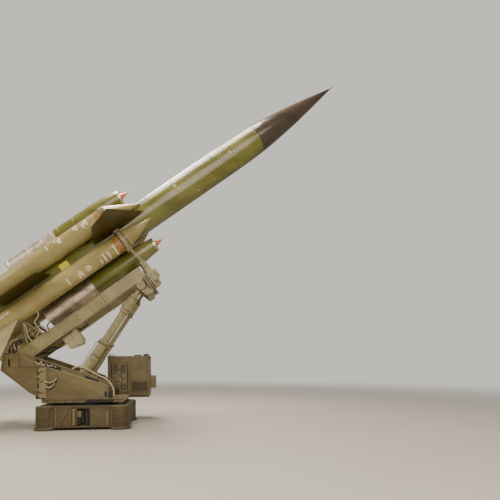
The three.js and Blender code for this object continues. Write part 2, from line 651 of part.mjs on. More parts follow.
// Fixed base with corner levelling housings, and the slewing ring
const housings = [];
for (const x of [-600, 600]) {
  for (const y of [-585, 585]) {
    housings.push(
      bar([x, y, 0], [x, y, 395], 165, 24),
      bar([x, y, 0], [x, y, 40], 190, 24),
      bar([x, y, 334], [x, y, 346], 169, 24),
      bar([x, y, 124], [x, y, 134], 169, 24),
      bar([x, y, 390], [x, y, 420], 36, 6),
    );
  }
}
add('base_frame', cut(
  join(
    box(-600, 600, -700, 700, 40, BASE_TOP),
    box(-720, 720, -560, 560, 60, BASE_TOP),
    ...housings,
    bar([0, 0, 0], [0, 0, 50], 210, 24),
    ...[-1, 1].flatMap((way) => {
      const y = way * 700;
      const strip = (x0, x1, z0, z1) => box(x0, x1, y - way * 5, y + way * PANEL, z0, z1);
      return [
        strip(-600, 600, BASE_TOP - 22, BASE_TOP), strip(-600, 600, 42, 64),
        ...[-535, -420, -108, 30, 395].map((x) => strip(x, x + 8, 60, BASE_TOP - 20)),
        strip(70, 360, 90, 350),
        bar([-400, y, 75], [-200, y, 370], 12, 8),
        bar([-200, y, 370], [-120, y, 200], 12, 8),
      ];
    }),
  ),
  box(-100, 30, -760, -600, 70, 360),
  box(-100, 30, 600, 760, 70, 360),
), 'launcher');
add('slewing_ring', bar([0, 0, BASE_TOP + GAP], [0, 0, DECK_LOW - GAP], 470, 36), 'dark');

export default group;
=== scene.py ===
"""Ramjet missile with four strap-on boosters, standing nose up on its turntable launcher.

Every size is in metres. +Z is up, +X is the way the missile points and +Y is its left side, where the
equipment cabinet stands. Three frames are used: the floor's own, the arm's (x along the launching beams,
z square to them, from the trunnions) and the struts' (x along a strut from its foot pin). Stations on
the missile are counted aft from its nose.
"""

import logging
import math
from dataclasses import dataclass
from enum import Enum
from typing import Sequence

import bmesh
import bpy
import numpy as np
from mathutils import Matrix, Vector
from numpy.typing import NDArray


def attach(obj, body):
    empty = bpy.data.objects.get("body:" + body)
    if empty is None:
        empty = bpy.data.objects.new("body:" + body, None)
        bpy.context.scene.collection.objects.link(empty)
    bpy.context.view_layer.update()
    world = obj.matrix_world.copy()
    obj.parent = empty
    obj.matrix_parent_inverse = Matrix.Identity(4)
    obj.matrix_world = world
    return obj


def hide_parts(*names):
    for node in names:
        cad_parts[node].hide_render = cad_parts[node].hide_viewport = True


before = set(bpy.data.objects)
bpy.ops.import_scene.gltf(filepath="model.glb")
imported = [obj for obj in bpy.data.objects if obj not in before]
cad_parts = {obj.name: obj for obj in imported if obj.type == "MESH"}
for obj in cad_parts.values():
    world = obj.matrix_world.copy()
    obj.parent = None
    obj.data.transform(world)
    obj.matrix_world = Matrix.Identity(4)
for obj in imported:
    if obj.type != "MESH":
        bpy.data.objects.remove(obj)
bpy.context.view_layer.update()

Array = NDArray[np.float64]
Rows = tuple[tuple, ...]
Socket = bpy.types.NodeSocket
log = logging.getLogger("launcher")

WELD = 1e-6  # points nearer than this are one
SUNK = 0.001  # how far thin plates reach into the surface under them
PATCH_STEP = 4.0  # degrees of arc for each step of a curved plate
GROOVE_WIDTH, GROOVE_DEPTH = 0.008, 0.003  # turned seam in a tube
COAT = 0.0007  # thickness of a painted mark
DRAWN_EDGE = 40.0  # degrees between two faces above which a bevel rounds their edge


class Side(Enum):
    """The two sides of the machine, valued by the sign of Y."""

    RIGHT = -1
    LEFT = 1


class Body(str, Enum):
    """The moving bodies that pieces ride on."""

    BASE = "base"
    TURNTABLE = "turntable"
    ARM = "arm"
    DOOR_REAR = "door_rear"
    DOOR_FRONT = "door_front"
    JACK_BARREL = "jack_barrel"
    JACK_RAM = "jack_ram"
    STRUT_LEFT_BARREL = "strut_left_barrel"
    STRUT_LEFT_RAM = "strut_left_ram"
    STRUT_RIGHT_BARREL = "strut_right_barrel"
    STRUT_RIGHT_RAM = "strut_right_ram"
    WING_LEFT = "wing_left"
    WING_RIGHT = "wing_right"


class Slot(str, Enum):
    """The record's material slots."""

    OLIVE = "olive_paint"
    GREEN = "green_paint"
    RADOME = "radome_paint"
    HOT_STEEL = "hot_steel"
    COPPER = "copper_paint"
    BOOSTER = "booster_paint"
    LAUNCHER = "launcher_paint"
    DARK = "dark_metal"
    CHROME = "chromed_rod"
    BARE = "bare_metal"
    HOSE = "hose_sleeve"


# Skins: arrays of points and faces


@dataclass
class Skin:
    """One or more closed skins.

    Attributes:
        points: n by 3 places in metres.
        loops: point numbers of all faces, one face after the other.
        sizes: number of corners of each face.
    """

    points: Array
    loops: Array
    sizes: Array

    def placed(self, matrix: Array) -> "Skin":
        """Returns the skin turned and shifted by a 4 by 4 matrix."""
        return Skin(self.points @ matrix[:3, :3].T + matrix[:3, 3], self.loops, self.sizes)

    def tiled(self, matrices: Array) -> "Skin":
        """Returns one copy of the skin for each 4 by 4 matrix in a stack of them."""
        count = len(self.points)
        turned_points = np.einsum("kij,nj->kni", matrices[:, :3, :3], self.points)
        points = turned_points + matrices[:, None, :3, 3]
        loops = self.loops[None, :] + count * np.arange(len(matrices))[:, None]
        return Skin(points.reshape(-1, 3), loops.ravel(), np.tile(self.sizes, len(matrices)))


def merged(*skins: Skin) -> Skin:
    """Returns several skins as one, each one's point numbers raised by the points before it."""
    starts = np.cumsum([0] + [len(s.points) for s in skins[:-1]])
    return Skin(np.vstack([s.points for s in skins]), np.concatenate([s.loops + a for s, a in zip(skins, starts)]),
                np.concatenate([s.sizes for s in skins]))


def lattice(rows: Array, ringed: bool = False) -> Skin:
    """Joins rings of points by four-sided faces.

    Args:
        rows: m rings of n points each; ring i is joined to ring i + 1, and each ring closes on itself.
        ringed: whether the last ring joins the first; if not, each end ring gets one flat cap.

    Returns:
        The closed skin.
    """
    m, n = rows.shape[:2]
    i = np.arange(m if ringed else m - 1)[:, None]
    j = np.arange(n)[None, :]
    up = (i + 1) % m
    on = (j + 1) % n
    quads = np.stack([i * n + j, i * n + on, up * n + on, up * n + j], axis=-1).reshape(-1, 4)
    loops = [quads.ravel()]
    sizes = [np.full(len(quads), 4)]
    if not ringed:
        for row, ring in ((0, np.arange(n)[::-1]), (m - 1, np.arange(n))):
            if np.ptp(rows[row], axis=0).max() > 1e-7:
                loops.append(row * n + ring)
                sizes.append(np.array([n]))
    return Skin(rows.reshape(-1, 3).astype(float), np.concatenate(loops), np.concatenate(sizes))


def circle(count: int, start: float = 0.0) -> Array:
    """Returns the cosine and sine of count even steps round a circle, as two rows."""
    angle = start + np.linspace(0.0, 2.0 * math.pi, count, endpoint=False)
    return np.stack([np.cos(angle), np.sin(angle)])


def turned(profile: Sequence, count: int, y: float = 0.0, z: float = 0.0, ringed: bool = False) -> Skin:
    """Turns a profile about the X axis: point (x, r) becomes (x, r cos a, r sin a) for every angle a.

    Args:
        profile: (x, radius) pairs.
        count: steps round the axis.
        y: shift of the axis along Y.
        z: shift of the axis along Z.
        ringed: whether the profile closes on itself, as on a ring or hollow part.

    Returns:
        The closed skin.
    """
    x, r = np.asarray(profile, float).T
    c, s = circle(count)
    rows = np.stack([np.repeat(x[:, None], count, axis=1), y + np.outer(r, c), z + np.outer(r, s)], axis=-1)
    return lattice(rows, ringed)


def turned_across(profile: Sequence, x: float, z: float, count: int, ringed: bool = False) -> Skin:
    """Turns a profile of (y, radius) pairs about the Y axis through (x, z)."""
    skin = turned(profile, count, ringed=ringed)
    return Skin(skin.points[:, (1, 0, 2)] + np.array([x, 0.0, z]), skin.loops, skin.sizes)


def turned_upright(profile: Sequence, x: float, y: float, count: int) -> Skin:
    """Turns a profile of (z, radius) pairs about the upright axis through (x, y)."""
    skin = turned(profile, count)
    return Skin(skin.points[:, (1, 2, 0)] + np.array([x, y, 0.0]), skin.loops, skin.sizes)


def eased(points: Sequence, radius: float, steps: int = 4, closed: bool = False) -> Array:
    """Rounds the corners of a line: each corner becomes a parabola between two points one radius from it.

    Args:
        points: corners of the line, in two or three dimensions.
        radius: distance from a corner at which its rounding starts, or half the side if that is less.
        steps: points along each rounding.
        closed: whether the line closes on itself; if not, its ends stay.

    Returns:
        The rounded line.
    """
    p = np.asarray(points, float)
    before = np.roll(p, 1, axis=0) - p
    after = np.roll(p, -1, axis=0) - p
    lb = np.linalg.norm(before, axis=1, keepdims=True)
    la = np.linalg.norm(after, axis=1, keepdims=True)
    reach = np.minimum(radius, np.minimum(lb, la) * 0.49)
    a = p + before / np.maximum(lb, 1e-9) * reach
    b = p + after / np.maximum(la, 1e-9) * reach
    t = np.linspace(0.0, 1.0, steps)[None, :, None]
    bends = (1 - t) ** 2 * a[:, None] + 2 * t * (1 - t) * p[:, None] + t**2 * b[:, None]
    if closed:
        return bends.reshape(-1, p.shape[1])
    return np.vstack([p[:1], bends[1:-1].reshape(-1, p.shape[1]), p[-1:]])


def spline(points: Sequence, steps: int) -> Array:
    """Carries a smooth cubic line through points, each span leaving along the chord of its neighbours.

    Args:
        points: places in any number of dimensions.
        steps: points for each span.

    Returns:
        The dense line, from the first point to the last.
    """
    p = np.asarray(points, float)
    ends = np.vstack([2 * p[0] - p[1], p, 2 * p[-1] - p[-2]])
    a, b, c, d = ends[:-3, None], ends[1:-2, None], ends[2:-1, None], ends[3:, None]
    t = np.linspace(0.0, 1.0, steps, endpoint=False)[None, :, None]
    line = 0.5 * (2 * b + (c - a) * t + (2 * a - 5 * b + 4 * c - d) * t**2 + (3 * b - a - 3 * c + d) * t**3)
    return np.vstack([line.reshape(-1, p.shape[1]), p[-1:]])


def swept(path: Array, radius: float, sides: int, across: Sequence = (0.0, 1.0, 0.0)) -> Skin:
    """Carries a circle along a path: ring centre plus radius times two directions square to the path.

    Args:
        path: centre line.
        radius: radius of the tube.
        sides: points on each ring.
        across: a direction that the path never runs along.

    Returns:
        The closed tube.
    """
    path = np.asarray(path, float)
    along = np.gradient(path, axis=0)
    along /= np.linalg.norm(along, axis=1, keepdims=True)
    first = np.cross(along, np.asarray(across, float))
    first /= np.linalg.norm(first, axis=1, keepdims=True)
    second = np.cross(along, first)
    c, s = circle(sides)
    rows = path[:, None] + radius * (first[:, None] * c[None, :, None] + second[:, None] * s[None, :, None])
    return lattice(rows)


def rod(a: Sequence, b: Sequence, radius: float, sides: int = 24, end: float = 0.0) -> Skin:
    """Returns a straight round bar from a to b; end is the size of the chamfer on its two rims."""
    a, b = np.asarray(a, float), np.asarray(b, float)
    length = float(np.linalg.norm(b - a))
    r = radius
    profile = [(0, r), (length, r)]
    if end:
        profile = [(0, r - end), (end, r), (length - end, r), (length, r - end)]
    return turned(profile, sides).placed(aimed(a[None], b - a)[0])


def prism(outline: Sequence, y0: float, y1: float) -> Skin:
    """Returns a flat plate with an outline in X and Z, from y0 to y1."""
    p = np.asarray(outline, float)
    rows = np.stack([np.column_stack([p[:, 0], np.full(len(p), y), p[:, 1]]) for y in (y0, y1)])
    return lattice(rows)


def box(x0: float, x1: float, y0: float, y1: float, z0: float, z1: float) -> Skin:
    """Returns a box between two corners."""
    return prism([(x0, z0), (x1, z0), (x1, z1), (x0, z1)], y0, y1)


def band(x0: float, x1: float, inner: float, outer: float) -> list[tuple[float, float]]:
    """Returns the profile of a plain disc or ring from x0 to x1 between two radii."""
    return [(x0, inner), (x0, outer), (x1, outer), (x1, inner)]


def slabs(rows: Sequence, y0: float, y1: float) -> list[Skin]:
    """Returns boxes from y0 to y1, one for each row of x0, x1, z0 and z1."""
    return [box(a, b, y0, y1, c, d) for a, b, c, d in rows]


def grid(x: Sequence | float, y: Sequence | float, z: Sequence | float) -> Array:
    """Returns every place that has its x, y and z from three sets or single values."""
    return np.stack(np.meshgrid(x, y, z, indexing="ij"), axis=-1).reshape(-1, 3).astype(float)


def aimed(places: Array, direction: Sequence) -> Array:
    """Returns 4 by 4 matrices that take +X to a direction, one at each place.

    Args:
        places: k by 3 places.
        direction: one direction, or k of them.
    """
    places = np.atleast_2d(np.asarray(places, float))
    x = np.broadcast_to(np.asarray(direction, float), places.shape)
    x = x / np.linalg.norm(x, axis=1, keepdims=True)
    hint = np.where(np.abs(x[:, 2:3]) > 0.9, [[0.0, 1.0, 0.0]], [[0.0, 0.0, 1.0]])
    y = np.cross(hint, x)
    y /= np.linalg.norm(y, axis=1, keepdims=True)
    matrices = np.tile(np.eye(4), (len(places), 1, 1))
    matrices[:, :3, 0], matrices[:, :3, 1], matrices[:, :3, 2] = x, y, np.cross(x, y)
    matrices[:, :3, 3] = places
    return matrices


def bolts(places: Array, direction: Sequence, radius: float, height: float = 0.007) -> Skin:
    """Returns hexagon bolt heads on washers at places, standing along a direction."""
    washer = turned([(0, radius * 1.35), (0.002, radius * 1.35)], 12)
    head = turned([(0.002, radius), (height, radius), (height + 0.001, radius * 0.82)], 6)
    return merged(washer, head).tiled(aimed(places, direction))


def studs(places: Array, direction: Sequence, radius: float, height: float = 0.0012) -> Skin:
    """Returns low domed screw heads at places, standing along a direction."""
    head = turned([(-0.001, radius), (height * 0.5, radius), (height, radius * 0.6)], 8)
    return head.tiled(aimed(places, direction))


def ring_places(x: float, radius: float, count: int, y: float, z: float, start: float = 0.0) -> tuple[Array, Array]:
    """Returns places evenly round an X axis at (y, z), and the outward direction at each."""
    c, s = circle(count, start)
    out = np.stack([np.zeros(count), c, s], axis=1)
    return out * radius + np.array([x, y, z]), out


def patch(x0: float, x1: float, a0: float, a1: float, radius: float, thick: float, y: float, z: float) -> Skin:
    """Returns a thin curved plate on a cylinder about an X axis.

    Each angle a between a0 and a1 gives a four-cornered section from x0 to x1, radius to radius + thick.

    Args:
        x0: lower end along the axis.
        x1: upper end along the axis.
        a0: first angle in degrees, from +Y towards +Z.
        a1: last angle in degrees.
        radius: radius of the surface under the plate.
        thick: thickness of the plate.
        y: the axis's place along Y.
        z: the axis's place along Z.

    Returns:
        The closed plate, sunk into the surface by SUNK.
    """
    steps = max(3, int(abs(a1 - a0) / PATCH_STEP) + 1)
    angle = np.radians(a0 + (a1 - a0) * np.linspace(0.0, 1.0, steps))[:, None]
    x = np.tile([x0, x1, x1, x0], (steps, 1))
    r = np.array([radius - SUNK, radius - SUNK, radius + thick, radius + thick])[None, :]
    return lattice(np.stack([x, y + r * np.cos(angle), z + r * np.sin(angle)], axis=-1))


def grooved(x0: float, x1: float, radius: float, grooves: Sequence[float]) -> list[tuple[float, float]]:
    """Returns a straight profile from x0 to x1 with a V groove at each given x, in the order of travel."""
    way = 1.0 if x1 > x0 else -1.0
    line = [(x0, radius)]
    for x in sorted(grooves, reverse=way < 0):
        line += [(x - way * GROOVE_WIDTH / 2, radius), (x, radius - GROOVE_DEPTH),
                 (x + way * GROOVE_WIDTH / 2, radius)]
    return line + [(x1, radius)]


def blade(spans: Array, lead: Array, trail: Array, half: Array, nose: float, around: int) -> Skin:
    """Lofts a thin double-curved surface such as a wing or fin.

    At each span the section runs from the leading to the trailing station; its half thickness at share u
    of the chord is half times 1 - |2u - 1| to a power, so that both edges are sharp and the middle is flat.

    Args:
        spans: places across, one for each section.
        lead: station of the leading edge at each span.
        trail: station of the trailing edge at each span.
        half: greatest half thickness at each span.
        nose: share of the chord where each edge's bevel ends.
        around: points on each section.

    Returns:
        The closed surface with stations along X, spans along Y and thickness along Z.
    """
    n = around // 2
    u = 0.5 - 0.5 * np.cos(np.linspace(0.0, math.pi, n + 1))
    u = np.concatenate([u[:-1], u[::-1][:-1]])
    side = np.concatenate([np.ones(n), -np.ones(n)])
    thick = side * (1.0 - np.abs(2.0 * u - 1.0) ** (1.0 / max(1e-3, 1.0 - nose)))
    spans, lead, trail, half = (np.asarray(a, float)[:, None] for a in (spans, lead, trail, half))
    x = lead + (trail - lead) * u[None, :]
    return lattice(np.stack([x, np.broadcast_to(spans, x.shape), half * thick[None, :]], axis=-1))


# Finishes


def linear(hex_colour: str) -> tuple[float, float, float, float]:
    """Turns an sRGB hex colour into linear red, green, blue and an alpha of one."""
    value = np.array([int(hex_colour.lstrip("#")[i:i + 2], 16) for i in (0, 2, 4)]) / 255.0
    straight = np.where(value <= 0.04045, value / 12.92, ((value + 0.055) / 1.055) ** 2.4)
    return (*straight.tolist(), 1.0)


class Graph:
    """A node tree, with short calls for the nodes that the finishes share."""

    def __init__(self, owner: bpy.types.Material | bpy.types.World) -> None:
        """Empties the owner's node tree for new nodes."""
        owner.use_nodes = True
        self.tree = owner.node_tree
        self.tree.nodes.clear()

    def add(self, kind: str, inputs: dict | None = None, **settings) -> bpy.types.Node:
        """Adds a node.

        Args:
            kind: Blender's name for the node, without the ShaderNode that it starts with.
            inputs: socket name or number to a value, or to an output socket that is linked to it.
            **settings: properties set on the node itself.

        Returns:
            The new node.
        """
        made = self.tree.nodes.new(f"ShaderNode{kind}")
        for key, value in settings.items():
            setattr(made, key, value)
        for key, value in (inputs or {}).items():
            if isinstance(value, Socket):
                self.tree.links.new(value, made.inputs[key])
            else:
                made.inputs[key].default_value = value
        return made

    def end(self, shader: bpy.types.Node, kind: str = "OutputMaterial") -> None:
        """Links a shader to the tree's output."""
        self.add(kind, {"Surface": shader.outputs[0]})

    def noise(self, place: Socket, scale: float, detail: float, roughness: float = 0.5) -> Socket:
        """Returns cloudy noise over a place, of about scale clouds to the metre."""
        inputs = {"Vector": place, "Scale": scale, "Detail": detail, "Roughness": roughness}
        return self.add("TexNoise", inputs).outputs["Fac"]

    def span(self, value: Socket, low: float, high: float, end: float = 1.0, start: float = 0.0) -> Socket:
        """Returns a value carried from the range low to high to the range start to end, and held inside it."""
        inputs = {"Value": value, "From Min": low, "From Max": high, "To Min": start, "To Max": end}
        return self.add("MapRange", inputs).outputs[0]

    def mix(self, share: Socket, under: Socket | str, over: str) -> Socket:
        """Returns a hex colour laid over a socket's or another hex colour by a share."""
        under = linear(under) if isinstance(under, str) else under
        return self.add("Mix", {0: share, 6: under, 7: linear(over)}, data_type="RGBA").outputs[2]

    def math(self, operation: str, a: Socket, b: Socket) -> Socket:
        """Returns the result of one operation on two values."""
        return self.add("Math", {0: a, 1: b}, operation=operation).outputs[0]

    def shade(self, reach: float, inside: bool = False) -> Socket:
        """Returns how open the piece's own corners are, or its outer edges, within a reach in metres."""
        return self.add("AmbientOcclusion", {"Distance": reach}, samples=6, only_local=True,
                        inside=inside).outputs["AO"]

    def places(self, stretch: float) -> tuple[Socket, Socket]:
        """Returns the Object place, and the same stretched along the missile."""
        place = self.add("TexCoord").outputs["Object"]
        turn = (0.0, math.radians(LAYOUT.elevation), 0.0)
        scale = (1.0 / stretch, 1.0, 1.0)
        return place, self.add("Mapping", {"Vector": place, "Rotation": turn, "Scale": scale}).outputs[0]

    def relief(self, height: Socket, strength: float, depth: float) -> Socket:
        """Returns the normal of a bumpy surface, depth in metres."""
        return self.add("Bump", {"Height": height, "Strength": strength, "Distance": depth}).outputs[0]


@dataclass(frozen=True)
class Finish:
    """A built material and the record's slot that its pieces fill."""

    material: bpy.types.Material
    slot: Slot


@dataclass(frozen=True)
class Paint:
    """Sprayed paint on metal: even under the gun, then weathered, rubbed and dusty; painted shade in corners, painted
    highlight on edges.

    Attributes:
        slot: the record's slot for it.
        name: the finish's name.
        colour: fresh colour.
        faded: colour where sun and hands have worn it, in patches of about 300 mm.
        grime_and_shade: colour of dirt in streaks, and of the painted shade in corners.
        roughness: mean roughness.
        coat: weight of the clear gloss over it.
        dust: how much pale dust lies on faces that look up.
        stretch: how much longer streaks are along the missile than across it.
        dirt: greatest share of grime.
        metallic: metallic value, above zero only for metallic finishes.
        corners: share of painted shade in corners within 60 mm, and half that share of pale edges, part wear and part
            painted highlight.
    """

    slot: Slot
    name: str
    colour: str
    faded: str
    grime_and_shade: str
    roughness: float
    coat: float
    dust: float
    stretch: float
    dirt: float
    metallic: float = 0.0
    corners: float = 0.0

    def corner_shade_and_edge_light(self, graph: Graph, coat: Socket, streak: Socket) -> Socket:
        """Adds painted shade in the piece's corners, and pale edges that are partly rubbed paint and partly painted
        highlight.

        Args:
            graph: the material's nodes.
            coat: the colour so far.
            streak: noise that breaks the wear up.

        Returns:
            The colour with both laid over it.
        """
        # Darkening where the piece's own corners close in: painted shade
        corner_shaded = graph.mix(graph.span(graph.shade(0.06), 0.95, 0.35, self.corners), coat, self.grime_and_shade)
        edge = graph.span(graph.shade(0.006, True), 0.8, 0.4, self.corners * 0.5)
        # Pale #c2b58c on outer edges: partly rubbed paint, partly painted highlight
        return graph.mix(graph.math("MULTIPLY", edge, graph.span(streak, 0.35, 0.6)), corner_shaded, "#c2b58c")

    def build(self) -> Finish:
        """Returns the finish, its patches, streaks, dust and orange peel all from Object coordinates."""
        material = bpy.data.materials.new(self.name)
        graph = Graph(material)
        place, along = graph.places(self.stretch)
        streak = graph.noise(along, 14.0, 6.0, 0.65)
        coat = graph.mix(graph.span(graph.noise(along, 3.3, 4.0), 0.38, 0.66), self.colour, self.faded)
        coat = graph.mix(graph.span(streak, 0.5, 0.78, self.dirt), coat, self.grime_and_shade)
        if self.corners:
            coat = self.corner_shade_and_edge_light(graph, coat, streak)
        facing = graph.add("SeparateXYZ", {0: graph.add("NewGeometry").outputs["Normal"]}).outputs["Z"]
        colour = graph.mix(graph.span(facing, 0.35, 1.0, self.dust), coat, "#cfc7b2")
        matt = graph.span(streak, 0.3, 0.75, self.roughness + 0.12, max(0.04, self.roughness - 0.05))
        peel = graph.relief(graph.noise(place, 160.0, 3.0), 0.12, 0.0003)
        inputs = {"Base Color": colour, "Roughness": matt, "Metallic": self.metallic, "Coat Weight": self.coat,
                  "Coat Roughness": 0.16, "Normal": peel}
        graph.end(graph.add("BsdfPrincipled", inputs))
        return Finish(material, self.slot)


@dataclass(frozen=True)
class Metal:
    """Bare metal, rolled, turned or ground: lengthwise marks, and heat or handling stains.

    Attributes:
        slot: the record's slot for it.
        name: the finish's name.
        colour: colour of the clean metal.
        stain: colour of stains.
        roughness: mean roughness.
        marks: spacing of the rolling or turning marks, in metres.
        stained: greatest share of stain.
        clouds: how many stains lie along a metre.
        stretch: how much longer marks are than wide.
    """

    slot: Slot
    name: str
    colour: str
    stain: str
    roughness: float
    marks: float
    stained: float
    clouds: float = 6.0
    stretch: float = 8.0

    def build(self) -> Finish:
        """Returns the finish: noise stretched along the missile for marks, broad noise for stains."""
        material = bpy.data.materials.new(self.name)
        graph = Graph(material)
        place, along = graph.places(self.stretch)
        marks = graph.noise(along, 1.0 / self.marks * 0.1, 5.0, 0.7)
        cloudy = graph.span(graph.noise(place, self.clouds, 6.0), 0.42, 0.72, self.stained)
        stained = graph.math("MAXIMUM", cloudy, graph.span(marks, 0.45, 0.8, self.stained))
        colour = graph.mix(stained, self.colour, self.stain)
        matt = graph.span(marks, 0.3, 0.7, self.roughness + 0.15, max(0.03, self.roughness - 0.08))
        inputs = {"Base Color": colour, "Roughness": matt, "Metallic": 1.0,
                  "Normal": graph.relief(marks, 0.1, 0.0006)}
        graph.end(graph.add("BsdfPrincipled", inputs))
        return Finish(material, self.slot)


@dataclass(frozen=True)
class Layout:
    """Driving places of the whole machine, shared by its sub-assemblies."""

    elevation: float = 37.0
    pivot: tuple[float, float] = (-1.2, 1.11)
    foot: tuple[float, float] = (-0.16, 0.76)
    head_pin: tuple[float, float] = (2.545, -0.177)
    nose: float = 8.03
    axis: float = 0.885
    body_r: float = 0.273
    strut_y: float = 0.33

    def at(self, station: float) -> float:
        """Returns the place along the arm of a missile station."""
        return self.nose - station

    @staticmethod
    def leaning(place: tuple[float, float], angle: float) -> Array:
        """Returns the matrix of a frame at X and Z, its +X raised by an angle in radians."""
        c, s = math.cos(angle), math.sin(angle)
        return np.array([[c, 0, -s, place[0]], [0, 1, 0, 0], [s, 0, c, place[1]], [0, 0, 0, 1]], float)

    def arm(self) -> Array:
        """Returns the arm's frame."""
        return self.leaning(self.pivot, math.radians(self.elevation))

    def head(self) -> Array:
        """Returns the strut head pins' X and Z in the floor's frame."""
        along, above = self.head_pin
        return (self.arm() @ np.array([along, 0.0, above, 1.0]))[[0, 2]]

    def strut(self) -> Array:
        """Returns the struts' frame."""
        x, z = self.head() - np.array(self.foot)
        return self.leaning(self.foot, math.atan2(z, x))

    def strut_length(self) -> float:
        """Returns the distance between a strut's two pins."""
        return float(np.linalg.norm(self.head() - np.array(self.foot)))


LAYOUT = Layout()
ARM = LAYOUT.arm()
STRUT = LAYOUT.strut()
WORLD = np.eye(4)


def hull(profile: Sequence, count: int, y: float = 0.0, z: float = LAYOUT.axis, ringed: bool = False) -> Skin:
    """Turns (station, radius) pairs about an axis along the missile, by default the fuselage's own."""
    station, r = np.asarray(profile, float).T
    return turned(np.column_stack([LAYOUT.at(station), r]), count, y, z, ringed)


def coat(s0: float, s1: float, a0: float, a1: float, radius: float, thick: float = COAT, y: float = 0.0,
         z: float = LAYOUT.axis) -> Skin:
    """Returns a thin curved plate from station s0 aft to s1 and from angle a0 to a1 in degrees."""
    return patch(LAYOUT.at(s1), LAYOUT.at(s0), a0, a1, radius, thick, y, z)


def both_faces(places: Array, axis: int, radius: float, height: float) -> Skin:
    """Returns screw heads on two faces of a plate, the second mirrored along an axis number."""
    way = np.eye(3)[axis]
    return merged(studs(places, way, radius, height), studs(places * (1 - 2 * way), -way, radius, height))


class Paints:
    """All finishes, each built once."""

    def __init__(self) -> None:
        """Builds every finish of the machine."""
        # Gloss air-dried paint on rolled aluminium: deep reflections, slight orange peel
        self.olive = Paint(Slot.OLIVE, "olive_gloss_paint", "#5f5d1c", "#777538", "#33300f", 0.27, 0.4, 0.1, 6.0,
                           0.4).build()
        # The same paint, darker and duller, on the wings and tailplanes
        self.green = Paint(Slot.GREEN, "dark_olive_paint", "#3f3407", "#4b410e", "#1f1b05", 0.33, 0.2, 0.12, 2.0,
                           0.35).build()
        # Moulded glass-fibre radome under a dull-grey gloss: smooth and faintly streaked
        self.radome = Paint(Slot.RADOME, "moulded_radome", "#3d3228", "#524436", "#201a15", 0.19, 0.5, 0.1, 9.0,
                            0.4).build()
        # Satin drab paint on steel tubes
        self.booster = Paint(Slot.BOOSTER, "drab_satin_paint", "#948550", "#a79861", "#4d4222", 0.3, 0.3, 0.12, 5.0,
                             0.4).build()
        # The same on the fins, made paler as painted light, because the fins look lit from above
        self.fin_lit_cream = Paint(Slot.OLIVE, "fin_paint_painted_light", "#aa9d6f", "#bbae82", "#5a4d2b", 0.36, 0.2, 0.12, 2.0,
                           0.4).build()
        # Brushed-on khaki paint on welded steel: satin, painted shade in its corners, pale edges part rubbed and part
        # painted highlight
        self.khaki = Paint(Slot.LAUNCHER, "khaki_launcher_paint", "#685b38", "#7b6d4a", "#2a2412", 0.42, 0.1, 0.25,
                           1.5, 0.5, 0.0, 0.8).build()
        # A lighter copy, painted light on the beams, struts, crosshead and supports that stand in the light
        self.khaki_pale = Paint(Slot.LAUNCHER, "khaki_paint_painted_light", "#867a54", "#9b9169", "#332b18", 0.38, 0.1, 0.25,
                                1.0, 0.45, 0.0, 0.8).build()
        # A paler copy again, painted light on the small parts that stand out in the light
        self.sage = Paint(Slot.LAUNCHER, "sage_paint_painted_light", "#a29a76", "#b5ad8a", "#453c26", 0.42, 0.1, 0.2, 1.0,
                          0.45, 0.0, 0.6).build()
        # A darker copy, painted shade on the base, louvre slats, door middle panels, valves and the junction lid seam
        self.khaki_dark = Paint(Slot.LAUNCHER, "khaki_paint_painted_shade", "#463a20", "#56472a", "#221a0c", 0.5, 0.0, 0.15,
                                1.0, 0.45, 0.0, 0.8).build()
        # A darker copy for the base panels, where it paints shade, and for the cabinet doors
        self.khaki_darker = Paint(Slot.LAUNCHER, "khaki_darker_paint", "#514429", "#625335", "#261d0e", 0.46, 0.0, 0.2,
                                 1.0, 0.45, 0.0, 0.8).build()
        self.white = Paint(Slot.BOOSTER, "stencil_white_paint", "#efeadb", "#e2dbc6", "#9c8f6e", 0.4, 0.1, 0.0, 1.0,
                           0.2).build()
        self.yellow = Paint(Slot.OLIVE, "yellow_patch_paint", "#e7dc35", "#d6c93b", "#7a6c1c", 0.35, 0.2, 0.0, 1.0,
                            0.3).build()
        self.tan = Paint(Slot.BOOSTER, "tan_band_paint", "#9d7033", "#95672e", "#5f3d18", 0.35, 0.2, 0.1, 1.0,
                         0.3).build()
        self.copper = Paint(Slot.COPPER, "copper_lacquer", "#c5713a", "#d7844a", "#5a3216", 0.3, 0.2, 0.05, 2.0, 0.3,
                            0.3).build()
        # Black enamel on dark parts, also laid as painted shadow under and between parts
        self.black = Paint(Slot.DARK, "black_enamel_and_painted_shadow", "#1d1a15", "#28241d", "#0b0a07", 0.45, 0.0, 0.1, 1.0,
                           0.4).build()
        self.rubber = Paint(Slot.HOSE, "black_rubber_sleeve", "#1e1c19", "#2b2823", "#0c0b09", 0.33, 0.0, 0.12, 1.0,
                            0.3).build()
        self.pale_hose = Paint(Slot.HOSE, "braided_pale_hose", "#b3a587", "#c6b897", "#6a5c42", 0.55, 0.0, 0.15, 1.0,
                               0.4).build()
        # Stainless exhaust ducts, heat-tinted mauve and brown, with rolling marks along them
        self.hot_steel = Metal(Slot.HOT_STEEL, "heat_tinted_steel", "#e2d3bf", "#7f6c55", 0.46, 0.0035, 0.75, 9.0,
                               1.6).build()
        self.chrome = Metal(Slot.CHROME, "ground_chrome_rod", "#d5d3cd", "#a8a294", 0.1, 0.003, 0.2).build()
        self.bare = Metal(Slot.BARE, "turned_aluminium", "#cbbfa8", "#8d7a5c", 0.34, 0.003, 0.5).build()
        self.brass = Metal(Slot.BARE, "cast_brass_fitting", "#a5804a", "#5d4320", 0.36, 0.004, 0.5).build()


PAINTS = Paints()


# Pieces


def frame_of(body: Body) -> Array:
    """Returns the frame that the places of a body's pieces are in."""
    if body.startswith(("strut", "jack")):
        return STRUT
    return ARM if body.startswith(("arm", "wing")) else WORLD


